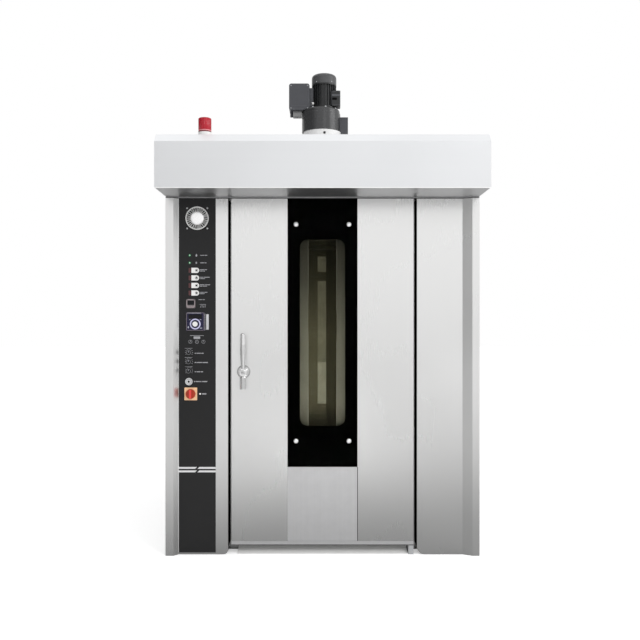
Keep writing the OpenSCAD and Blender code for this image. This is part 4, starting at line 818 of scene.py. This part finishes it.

# %% [markdown]
# ## The door's fittings and the dark gaps
# Four polished domes hold the centre glass. The hub of the lever has a polished rim and a grey
# centre screw, with a small grub screw above it, and two darker steel rings round the handle's
# rose are painted shadow. A fine dark line beside the right edge of the panel in the door and one
# along the door's foot are painted shade, and two thin black strips line the pillars as painted
# shadow, so the gaps read as black lines.

# %% Door fittings
WINDOW_TOP, WINDOW_BOTTOM = 1.638, 0.668
CAP_X, CAP_BEYOND, CAP_RADIUS, INSET_LOW = 0.1375, 0.078, 0.01152, 0.0705
caps = [dome((side * CAP_X, COLUMN - 0.003, z), CAP_RADIUS, 0.0045, rings=8)
        for side in (-1, 1) for z in (WINDOW_BOTTOM - CAP_BEYOND, WINDOW_TOP + CAP_BEYOND)]
stainless("polished_steel", (0.93, 0.93, 0.93), 0.12, grain_depth=0.01, cloud=0.01, bump=0.000005)
make_piece("glass_caps", caps, "polished_steel", "door")
# Dark of the sealant in the cladding's grooves, and painted shade on the door.
coated("dark_sealant_and_shade", (0.012, 0.012, 0.012), 0.6, specular=0.1)
glass_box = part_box("door_glass")
panel_half = (glass_box[1].x - glass_box[0].x) / 2
seam_front, seam_back = COLUMN - 0.0003, COLUMN + 0.0005
# Painted shade: a dark line right of the door's panel and one along the door's foot.
make_piece("door_shade_lines", [slab((panel_half - 0.0012, seam_front, INSET_LOW),
                               (panel_half + 0.0022, seam_back, glass_low)),
                          slab((door_low.x, seam_front, door_low.z + 0.001),
                               (door_high.x, seam_back, door_low.z + 0.0045))],
           "dark_sealant_and_shade", "door")

# %% Handle fittings
HANDLE_X, HANDLE_Z, LEVER_Y = -0.410, 0.950, -0.792
hub = (HANDLE_X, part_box("handle_lever")[0].y, HANDLE_Z)
stainless("screw_grey_and_shadow_steel", (0.44, 0.44, 0.44), 0.28)
make_piece("hub_rim", [ring(hub, 0.0135, 0.004)], "polished_steel", "handle")
make_piece("hub_screw", [dome(hub, 0.006, 0.002),
                         dome((HANDLE_X, LEVER_Y - 0.0085, HANDLE_Z + 0.034), 0.004, 0.0016)],
           "screw_grey_and_shadow_steel", "handle")
# Painted shadow: two darker steel rings round the rose; the same steel makes the hub's screws.
make_piece("rose_shadow_rings", [ring((HANDLE_X, COLUMN - 0.005, HANDLE_Z), 0.0310, 0.0055),
                        ring((HANDLE_X, COLUMN, HANDLE_Z), 0.0345, 0.0016)],
           "screw_grey_and_shadow_steel", "door")

# %% [markdown]
# ## What shows through the window
# Behind the outer glass the window's steel reveal catches light on its two inner edges, so a thin
# ledge stands on each side. That light is painted into its colour: brightest below mid height,
# fading upwards. Far behind it a pale strip runs up the middle of the baffle, with one gap; its
# foot is painted brighter than the duller part above, as painted light.

# %% Ledge behind the outer glass
LEDGE_FRONT, LEDGE_INNER, LEDGE_OUTER = door_high.y - 0.020, 0.0755, 0.1255
tree, shader, place = start_material("ledge_steel")
ledge_z = z_of(tree, place)
# Painted light on the ledge: brightest from 0.85 m to 1.12 m, dimmer below and fading upwards.
painted_ledge_light = times(tree, ramp(tree, ledge_z, 1.12, 1.62, 0.230, 0.082),
                   ramp(tree, ledge_z, 0.66, 0.85, 0.60, 1.0))
ledge_lines = use_group(tree, "Brushed Grain", place, Scale=UPRIGHT)
ledge_grain = straight(tree, ledge_lines["Grain"], 0.3, 1.0)
feed_all(tree, shader, Metallic=1.0, Roughness=0.4,
         Base_Color=tint(tree, (1.0, 0.99, 0.93), times(tree, painted_ledge_light, ledge_grain)))
make_piece("window_ledge", [
    slab((x0, LEDGE_FRONT - 0.0006, WINDOW_BOTTOM - 0.008),
         (x1, LEDGE_FRONT + 0.0003, WINDOW_TOP + 0.008))
    for x0, x1 in ((-LEDGE_OUTER, -LEDGE_INNER), (LEDGE_INNER, LEDGE_OUTER))],
    "ledge_steel", "door")

# %% Strip on the rear baffle
STRIP_HALF = 0.029
baffle_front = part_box("rear_baffle")[0].y
# Painted light: the strip's foot is a brighter copy of its upper colour.
coated("strip_mid", (0.36, 0.35, 0.29), 0.5, mottle=0.4)
coated("strip_painted_lit", (0.60, 0.59, 0.52), 0.5, mottle=0.2)
for name, stretches, material in (
        ("baffle_strip", ((0.93, 1.487), (1.549, 1.655)), "strip_mid"),
        ("baffle_strip_low", ((0.645, 0.93),), "strip_painted_lit")):
    make_piece(name, [slab((-STRIP_HALF, baffle_front - 0.0008, z0),
                           (STRIP_HALF, baffle_front + 0.0004, z1)) for z0, z1 in stretches],
               material)

# %% Black strips beside the door, painted shadow in the gaps
STRIP_THICK, STRIP_DEPTH, STRIP_LOW = 0.0012, 0.095, 0.042
pillar_edge = -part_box("left_pillar")[1].x
# Painted shadow: black strips stand in for the shade inside the gaps beside the door.
coated("gap_painted_shadow", (0.002, 0.002, 0.002), 0.9, specular=0.0)
make_piece("gap_shadow_strips", [slab((side * pillar_edge, COLUMN + 0.0006, STRIP_LOW),
                               (side * (pillar_edge - STRIP_THICK), COLUMN + STRIP_DEPTH,
                                door_high.z)) for side in (-1, 1)], "gap_painted_shadow")

# %% [markdown]
# ## Under the canopy and along the column
# A dark lip and a grey flange close the joint between canopy and front as painted shade, following
# the front's plan with its proud posts. A bright white bead along the canopy's lower edge is a
# painted highlight, and a fine polished bead runs down the column's left side. The small lamps get
# bright cores.

# %% Lip and flange
post_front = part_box("left_pillar")[0].y
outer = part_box("door_frame")[1].x
LIP_SETBACK, LIP_THICK = 0.0006, 0.0014


def wall(path, z0, z1, thickness):
    """A thin wall along a plan path of (x, y): the path and its copy moved back, drawn upwards."""
    path = np.array(path, float)
    loop = np.vstack([path, path[::-1] + [0, thickness]])
    levels = [np.insert(loop, 2, z, axis=1) for z in (z0, z1)]
    count = len(loop)
    points, faces = sweep(np.stack(levels), wrap_v=True)
    return points, faces + [list(range(count)), list(range(count, 2 * count))[::-1]]


left_foot, right_foot = -panel_low.x, outer - 0.084
lip_path = np.array([
    (-outer + 0.001, post_front), (-left_foot - 0.023, post_front), (-left_foot, COLUMN),
    (right_foot, COLUMN), (right_foot + 0.047, post_front), (outer - 0.001, post_front)])
lip_path += [0, LIP_SETBACK]
lip_z = door_high.z + np.array([0.0004, 0.0034, 0.0078])
# Painted shade: the dark lip and the grey flange stand in for the shadow in the joint under the
# canopy.
coated("lip_painted_shade", (0.045, 0.045, 0.045), 0.6, specular=0.1)
stainless("flange_painted_shade", (0.34, 0.34, 0.345), 0.45)
make_piece("canopy_shade_lip", [wall(lip_path, lip_z[0], lip_z[1], LIP_THICK)], "lip_painted_shade")
make_piece("canopy_shade_flange", [wall(lip_path, lip_z[1], lip_z[2], LIP_THICK)], "flange_painted_shade")

# %% Beads and lamp cores
BEAD = 0.0028
hood_low, hood_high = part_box("canopy_shell")
# Painted highlight: a bright white strip along the canopy's lower edge.
make_piece("canopy_highlight_bead", [slab((hood_low.x + 0.001, hood_low.y, hood_low.z - BEAD),
                                (hood_high.x - 0.001, hood_low.y + BEAD, hood_low.z + 0.0002))],
           "white_and_painted_highlight")
white_lamp = (lamp_x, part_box("panel_lamps")[0].y + 0.0006, switch_z)
make_piece("white_lamp", [dome(white_lamp, 0.0048, 0.0022)], "white_and_painted_highlight")
coated("pale_green", (0.55, 0.80, 0.60), 0.3, coat=0.3, mottle=0.05)
make_piece("lamp_cores", [dome((control_low.x + 0.019, panel_low.y - 0.002, z), 0.0032, 0.0014,
                               rings=4, steps=16) for z in lamp_rows], "pale_green")
bead_turn = np.linspace(0, np.pi, 7)
bead = np.stack([panel_low.x - 0.0008 + 0.0016 * np.cos(bead_turn),
                 COLUMN - 0.0012 * np.sin(bead_turn)], axis=-1)
make_piece("column_bead", [wall(bead, 0.012, panel_high.z, 0.0004)], "polished_steel")

# %% [markdown]
# ## The beacon
# The dome is fluted inside, which shows as fine upright stripes. The fluted sleeve is a cylinder
# whose radius swings with the angle; a pale ring and a dark ring close its foot.

# %% Beacon sleeve and rings
FLUTES, FLUTE_DEPTH = 24, 0.018
beacon = middle("beacon_dome")
beacon_low, beacon_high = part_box("beacon_dome")
beacon_radius = (beacon_high.x - beacon_low.x) / 2


def fluted(radius, z_values, steps=144):
    """A sleeve of radius * (1 + FLUTE_DEPTH * cos(FLUTES * angle)) at every height."""
    angle = np.linspace(0, 2 * np.pi, steps, endpoint=False)[:, None]
    r = np.array(radius)[None, :] * (1 + FLUTE_DEPTH * np.cos(FLUTES * angle))
    z = np.array(z_values)[None, :] + 0 * angle
    xs, ys = beacon.x + r * np.cos(angle), beacon.y + r * np.sin(angle)
    return sweep(np.stack([xs, ys, z], axis=-1), wrap_u=True)


def collar(z0, z1, proud):
    """A short band round the beacon, from z0 to z1 above its foot."""
    radius, z0, z1 = beacon_radius + proud, beacon_low.z + z0, beacon_low.z + z1
    return turned([(radius - 0.002, z0), (radius, z0), (radius, z1), (radius - 0.002, z1)],
                  (beacon.x, beacon.y, 0), "z", 48)


sleeve_z = [beacon_low.z + 0.009, beacon_low.z + 0.012, beacon_high.z - 0.004,
            beacon_high.z - 0.001, beacon_high.z + 0.0006, beacon_high.z + 0.0008]
sleeve_r = [beacon_radius + step for step in (-0.0005, 0.0006, 0.0006, -0.0008, -0.004)] + [0.0]
make_piece("beacon_flutes", [fluted(sleeve_r, sleeve_z)], "red_lens")
coated("pale_red", (0.75, 0.28, 0.30), 0.3, mottle=0.05)
coated("dark_red", (0.16, 0.015, 0.02), 0.35, mottle=0.05)
make_piece("beacon_pale_band", [collar(0.005, 0.0095, 0.0008)], "pale_red")
make_piece("beacon_dark_band", [collar(-0.0005, 0.005, 0.0010)], "dark_red")

# %% [markdown]
# ## The drive
# The cowl of each motor has a grille: its slots are black sheets that follow its domed top,
# painted shade for the openings. Bolts hold gearbox, pedestal and flanges, screws hold the
# inverter's cover, and small ribs, a plug, the cable entry's cover and a capacitor's frame and
# band finish what the camera sees of the drive. A black patch on the motor is painted shade for a
# recess.

# %% Motor grilles
motor_low, motor_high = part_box("drive_motor")
fan_low, fan_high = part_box("fan_motor")
fan_place = middle("fan_motor")
MOTOR_RADIUS, FAN_MOTOR_RADIUS = 0.074, 0.086
motor_x = motor_low.x + MOTOR_RADIUS + 0.004
shaft_y = middle("gearbox_housing").y


def cowl_height(radius, motor_radius):
    """Drop of the cowl's domed top below its highest point, at that radius."""
    known = [0, 0.45, 0.82, 0.92, 1.0]
    drop = [0, 0.0015, 0.0075, 0.012, 0.022]
    return -np.interp(radius / (motor_radius + 0.001), known, drop)


def grille(x, y, top, motor_radius, slots=16):
    """Slots between two radii, each a grid in radius and angle that follows the cowl."""
    shapes = []
    for first, last in ((0.22, 0.46), (0.50, 0.78)):
        radius = np.linspace(first, last, 5) * motor_radius
        for start in np.arange(slots) * 2 * np.pi / slots:
            angle = start + np.linspace(0, 1.25 * np.pi / slots, 4)[:, None]
            z = top + cowl_height(radius, motor_radius) + 0.0006 + 0 * angle
            xs, ys = x + radius * np.cos(angle), y + radius * np.sin(angle)
            shapes.append(sweep(np.stack([xs, ys, z], axis=-1)))
    return shapes


# Painted shade: black sheets stand in for the dark inside the grille's slots.
coated("slot_painted_shade", (0.004, 0.004, 0.004), 0.8, specular=0.05)
make_piece("cowl_slot_shade", grille(motor_x, shaft_y, motor_high.z, MOTOR_RADIUS)
           + grille(fan_place.x, fan_place.y, fan_high.z, FAN_MOTOR_RADIUS),
           "slot_painted_shade")

# %% Bolts and screws of the drives
gear_low, gear_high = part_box("gearbox_housing")
gear_x, gear_radius = (gear_low.x + gear_high.x) / 2, (gear_high.x - gear_low.x) / 2
DRUM_RADIUS, FLUE_X = 0.115, -0.45
DRUM_BOLT_X, DRUM_BOLT_Z = 0.014, 2.338
flange_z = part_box("drive_pedestal")[0].z + 0.008
flue_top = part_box("flue_collar")[0].z + 0.004


def bolt_circle(x, y, z, radius, first, pitch, size, height):
    """Bolt heads on a circle: from the first angle on, pitch degrees apart, counted from +X."""
    return [hex_head((x + radius * math.cos(a), y + radius * math.sin(a), z), size, height)
            for a in np.radians(range(first, 360, pitch))]


make_piece("drive_bolts", [
    *bolt_circle(gear_x, shaft_y, gear_high.z, gear_radius - 0.018, 15, 45, 0.0055, 0.006),
    *bolt_circle(0, shaft_y, flange_z, DRUM_RADIUS + 0.015, 0, 45, 0.0065, 0.007),
    *bolt_circle(fan_place.x, fan_place.y, fan_low.z + 0.012, FAN_MOTOR_RADIUS - 0.002, 0, 90,
                 0.0055, 0.006),
    *bolt_circle(FLUE_X, fan_place.y, flue_top, 0.088, 22, 45, 0.005, 0.005)], "castor_zinc")
drum_y = shaft_y - math.sqrt(DRUM_RADIUS ** 2 - DRUM_BOLT_X ** 2)
make_piece("drum_bolt", [dome((DRUM_BOLT_X, drum_y, DRUM_BOLT_Z), 0.008, 0.006)], "lens_dark")
make_piece("cowl_screws", [
    cross_screw((motor_x + dx, shaft_y - math.sqrt(0.075 ** 2 - dx ** 2), motor_high.z - 0.058),
                0.0035) for dx in (-0.045, 0.045)], "castor_zinc")

# %% Inverter box and cable entry
INVERTER_W, INVERTER_H, ENTRY_SKIN = 0.124, 0.160, 0.0006
PLUG_X, PLUG_Z, PLUG_RADIUS = -0.056, 2.532, 0.009
inv_x0, inv_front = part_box("inverter_box")[0].x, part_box("inverter_box")[0].y
inv_z0 = gear_high.z - 0.008
inv_x, inv_z = inv_x0 + INVERTER_W / 2, inv_z0 + INVERTER_H / 2
neck_x, neck_front = inv_x0 + INVERTER_W, shaft_y - 0.035


def frame_line(x, z, width, height, corner, line, y_front, y_back):
    """A rounded frame: the strip between an outline and the same outline drawn in by line."""
    outside = rounded_bar(x, z, width, height, corner)
    inside = rounded_bar(x, z, width - 2 * line, height - 2 * line, corner - line)
    loops = [np.insert(loop, 1, y, axis=1) for loop, y in (
        (outside, y_back), (outside, y_front), (inside, y_front), (inside, y_back))]
    return sweep(np.stack(loops), wrap_u=True, wrap_v=True)


coated("cover_grey", (0.095, 0.098, 0.108), 0.38, dust=0.1)
make_piece("inverter_cover", [
    frame_line(inv_x, inv_z, 0.118, 0.154, 0.012, 0.0035, inv_front - 0.0012, inv_front + 0.0005),
    cut_plate(rounded_bar(inv_x, inv_z0 + 0.026, 0.100, 0.0018), inv_front - 0.0008,
              inv_front + 0.0004)], "cover_grey")
make_piece("inverter_screws", [cross_screw((inv_x + sx * 0.050, inv_front, inv_z + sz * 0.068),
                                           0.0032) for sx, sz in corners], "castor_zinc")
make_piece("neck_ribs", [slab((x, neck_front - 0.004, inv_z0 + 0.026),
                              (x + 0.004, neck_front + 0.001, inv_z0 + 0.134))
                         for x in (neck_x + 0.001, neck_x + 0.010)], "cover_grey")
make_piece("neck_plug", [dome((PLUG_X, neck_front, PLUG_Z), PLUG_RADIUS, PLUG_RADIUS)],
           "white_and_painted_highlight")
entry_low = np.array([inv_x0 + 0.024, shaft_y - 0.028, inv_z0 - 0.030])
entry_high = np.array([inv_x0 + 0.075, shaft_y + 0.028, inv_z0])
coated("entry_grey", (0.26, 0.26, 0.26), 0.45, dust=0.1)
make_piece("entry_cover", [slab(entry_low - ENTRY_SKIN, entry_high + ENTRY_SKIN)], "entry_grey")

# %% Capacitor cover and the controller's frame
COVER_X, COVER_Z, CONTROL_FRAME = 0.082, 2.556, 0.092
cover_front = motor_low.y + 0.012
cover_back = cover_front + 0.0004
# Painted shade: a black patch stands in for the recess beside the capacitor's cover.
make_piece("capacitor_recess_shade", [cut_plate(rounded_bar(0.074, 2.553, 0.030, 0.014, 0.004),
                                          cover_front - 0.0006, cover_back)],
           "slot_painted_shade")
make_piece("capacitor_band", [
    cut_plate(rounded_bar(COVER_X, 2.575, 0.046, 0.010, 0.003), cover_front - 0.0007, cover_back),
    frame_line(COVER_X, COVER_Z, 0.050, 0.084, 0.008, 0.002, cover_front - 0.0008, cover_back)],
    "cover_grey")
make_piece("controller_frame", [frame_line(
    control_x, (control_low.z + control_high.z) / 2, CONTROL_FRAME, CONTROL_FRAME, 0.004, 0.0016,
    control_low.y - 0.0006, control_low.y + 0.0003)], "rose_grey")

# %% [markdown]
# ## Folded seams of the roof
# Roof sheets are joined by standing seams, which keep spilled water and flour off the joints. A
# seam is an upright fold with a rounded top, so its profile is half an ellipse.

# %% Roof seams
roof_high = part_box("roof_panel")[1]


def standing_seam(x, y0, y1, half_width=0.004, height=0.012):
    """The profile (half_width * cos t, height * sin t) carried along Y, closed at both ends."""
    turn = np.linspace(0, np.pi, 9)
    across, up = half_width * np.cos(turn), height * np.sin(turn)
    rows = [np.stack([x + across, np.full(9, y), roof_high.z - 0.0005 + up], axis=-1)
            for y in (y0, y1)]
    points, faces = sweep(np.stack(rows), wrap_v=True)
    return points, faces + [list(range(9)), list(range(9, 18))[::-1]]


make_piece("roof_seams", [standing_seam(x, hood_high.y + 0.01, roof_high.y - 0.02)
                          for x in (-0.27, 0.27)], "panel_steel")

# %% [markdown]
# ## Rivets, sealant and welds
# Sheet cladding is held by rivets in the grooves between its sheets, over a dark line of sealant
# at the bottom of each groove. A rivet is a dome of few faces, because there are many. The rack's
# tubes are joined by weld beads.

# %% Rivets and sealant of the cladding
SEAM, SEAM_PITCH, SEAM_DEPTH, SEALANT = 0.006, 0.56, 0.003, 0.0004
RIVET_RADIUS, RIVET_RISE = 0.0026, 0.0016
side_box, back_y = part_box("right_side_wall"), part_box("back_wall")[1].y - SEAM_DEPTH
side_x = side_box[1].x - SEAM_DEPTH
seam_ys = np.arange(side_box[0].y + SEAM_PITCH / 2, side_box[1].y - SEAM, SEAM_PITCH) + SEAM / 2
rivet_rows = [((side * side_x, seam_y), "+x" if side > 0 else "-x")
              for seam_y in seam_ys for side in (-1, 1)]
rivet_rows += [((seam_x, back_y), "+y") for seam_x in (-SEAM_PITCH / 2, SEAM_PITCH / 2)]
heights = np.linspace(0.08, 1.94, 12)
make_piece("cladding_rivets", [dome((*place, z), RIVET_RADIUS, RIVET_RISE, facing, 8, 3)
                               for place, facing in rivet_rows for z in heights],
           "trim_silver")
side_low, side_high = side_box[0].z + 0.002, side_box[1].z - 0.002
sealant = []
for (x, y), facing in rivet_rows:
    half = np.array([SEAM / 2 - SEALANT, SEALANT] if facing == "+y" else
                    [SEALANT, SEAM / 2 - SEALANT])
    sealant.append(slab((*((x, y) - half), side_low), (*((x, y) + half), side_high)))
make_piece("seam_sealant", sealant, "dark_sealant_and_shade")

# %% Welds and axle nuts of the rack
rack_low, rack_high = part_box("rack_frame")
TUBE, TOP_WELD_Z = 0.025, 1.675


def weld(start, end, radius=0.0022, beads=9):
    """A bead along a line: a tube whose radius swells beads times between its ends."""
    start, end = np.array(start), np.array(end)
    along = (end - start) / np.linalg.norm(end - start)
    side = np.cross(along, [0.3, 0.5, 0.8])
    side /= np.linalg.norm(side)
    other = np.cross(along, side)
    t = np.linspace(0, 1, beads * 3 + 1)[:, None]
    swell = 0.75 + 0.25 * np.cos(2 * np.pi * beads * t)
    size = (radius * swell * np.minimum(1, 12 * t * (1 - t) + 0.2))[..., None]
    turn = np.linspace(0, 2 * np.pi, 6, endpoint=False)[None, :, None]
    across = size * (np.cos(turn) * side + np.sin(turn) * other)
    return sweep(start + t[..., None] * (end - start) + across, wrap_v=True)


make_piece("rack_welds", [
    weld((x, y0 + 0.001, z), (x, y1 - 0.001, z))
    for x in (rack_low.x + TUBE, rack_high.x - TUBE)
    for y0, y1 in ((rack_low.y, rack_low.y + TUBE), (rack_high.y - TUBE, rack_high.y))
    for z in (rack_low.z + TUBE, TOP_WELD_Z)], "castor_zinc", "rack")
for wheel, holder in (("wheel_front_left", "fork_left"), ("wheel_front_right", "fork_right"),
                      ("wheel_rear_left", "rack"), ("wheel_rear_right", "rack")):
    axle = middle(wheel)
    make_piece(wheel + "_nuts", [
        hex_head((axle.x + side * 0.022, axle.y, axle.z), 0.008, 0.006, facing)
        for side, facing in ((-1, "-x"), (1, "+x"))], "castor_zinc", body=holder)

# %% [markdown]
# ## Light and floor
# A studio with white walls: the world is white to the camera, to metal and to glass, and a little
# weaker as light, because the lamps add the rest. The key lamp, large and soft, stands at the
# front right, and a small rim lamp near it gives bright metal an edge. A low lamp lights the foot,
# a long lamp at the right side draws the upright highlight on gearbox and motor, and a small one
# inside lights the chamber behind the window. Two cards, a grey one at the front left and a dark
# one high on the left, show only in reflections, and give round pieces and steel their darker left
# side. The floor is pale, and shows the camera almost white with the oven's soft shadow on it.

# %% World
WORLD_LIGHT = 0.72
world = bpy.data.worlds.new("studio")
scene.world = world
world.use_nodes = True
sky = world.node_tree
sky.nodes.clear()
path = add_node(sky, "ShaderNodeLightPath").outputs
seen = calc(sky, "MAXIMUM", path["Is Camera Ray"],
            calc(sky, "MAXIMUM", path["Is Glossy Ray"], path["Is Transmission Ray"]))
upwards = z_of(sky, add_node(sky, "ShaderNodeTexCoord").outputs["Generated"])
soft, white = [
    add_node(sky, "ShaderNodeBackground", inputs={"Color": (1, 1, 1, 1), "Strength": strength})
    for strength in (WORLD_LIGHT, ramp(sky, upwards, 0.35, 0.95, 1.0, 1.12))]
both = add_node(sky, "ShaderNodeMixShader", inputs={
    0: seen, 1: soft.outputs[0], 2: white.outputs[0]})
add_node(sky, "ShaderNodeOutputWorld", inputs={"Surface": both.outputs[0]})
print("world ready")

# %% Lamps
def soft_lamp(name, place, target, width, height, power, in_gloss):
    """An area lamp at place that faces target, seen in reflections only where in_gloss is true."""
    lamp = bpy.data.objects.new(name, bpy.data.lights.new(name, "AREA"))
    lamp.data.shape = "RECTANGLE"
    lamp.data.size, lamp.data.size_y = width, height
    lamp.data.energy = power
    lamp.location = place
    aim = np.array(target) - np.array(place)
    lamp.rotation_euler = (
        math.atan2(math.hypot(aim[0], aim[1]), -aim[2]), 0, math.atan2(aim[0], -aim[1]) + math.pi)
    lamp.visible_glossy = in_gloss
    scene.collection.objects.link(lamp)


soft_lamp("key_lamp", (3.2, -5.0, 4.2), (0, 0, 1.3), 2.2, 2.2, 130, False)
soft_lamp("rim_lamp", (1.7, -4.6, 3.7), (0, 0, 2.4), 0.5, 0.5, 3.5, True)
soft_lamp("low_lamp", (0, -3.6, 0.35), (0, -0.7, 0.0), 1.0, 1.0, 13, False)
soft_lamp("side_lamp", (4.15, shaft_y - 1.35, 3.7), (0, shaft_y, 2.45), 2.6, 0.9, 27, True)
soft_lamp("chamber_lamp", (-0.22, -0.50, 0.85), (0.05, 0.5, 0.85), 0.3, 0.3, 10, False)
print("lamps ready")

# %% Floor and cards
FLOOR_HALF, FLOOR_GLOW = 30.0, 0.42


def stage_material(name):
    """A plain material of the studio: (its tree, the inputs of its Principled shader)."""
    material = bpy.data.materials.new(name)
    material.use_nodes = True
    return material.node_tree, material.node_tree.nodes["Principled BSDF"].inputs


def stage_sheet(name, corners_of_sheet, material):
    """A flat four-cornered sheet that belongs to the studio."""
    mesh = bpy.data.meshes.new(name)
    mesh.from_pydata(corners_of_sheet, [], [(0, 1, 2, 3)])
    mesh.materials.append(bpy.data.materials[material])
    sheet = bpy.data.objects.new(name, mesh)
    scene.collection.objects.link(sheet)
    return sheet


tree, shader = stage_material("pale_floor")
from_camera = add_node(tree, "ShaderNodeLightPath").outputs["Is Camera Ray"]
feed_all(tree, shader, Roughness=0.9, Specular_IOR_Level=0.0, Emission_Strength=FLOOR_GLOW,
         Base_Color=blend(tree, from_camera, (0.84, 0.84, 0.84), (0.97, 0.97, 0.97)),
         Emission_Color=blend(tree, from_camera, (0.0, 0.0, 0.0), (1.0, 1.0, 1.0)))
stage_sheet("floor", [(-FLOOR_HALF, -FLOOR_HALF, 0), (FLOOR_HALF, -FLOOR_HALF, 0),
                      (FLOOR_HALF, FLOOR_HALF, 0), (-FLOOR_HALF, FLOOR_HALF, 0)], "pale_floor")
for name, finish, grey, foot, low, high in (
        ("card", "grey_card", 0.40, ((-4.4, -1.8), (-2.1, -4.8)), 0.02, 3.6),
        ("high_card", "dark_card", 0.06, ((-3.4, -4.2), (-3.4, 2.5)), 2.8, 5.2)):
    tree, shader = stage_material(finish)
    feed_all(tree, shader, Base_Color=(grey, grey, grey, 1))
    (x0, y0), (x1, y1) = foot
    sheet = stage_sheet(name, [(x0, y0, low), (x1, y1, low), (x1, y1, high), (x0, y0, high)],
                        finish)
    sheet.visible_camera = sheet.visible_diffuse = sheet.visible_shadow = False
print("stage ready")
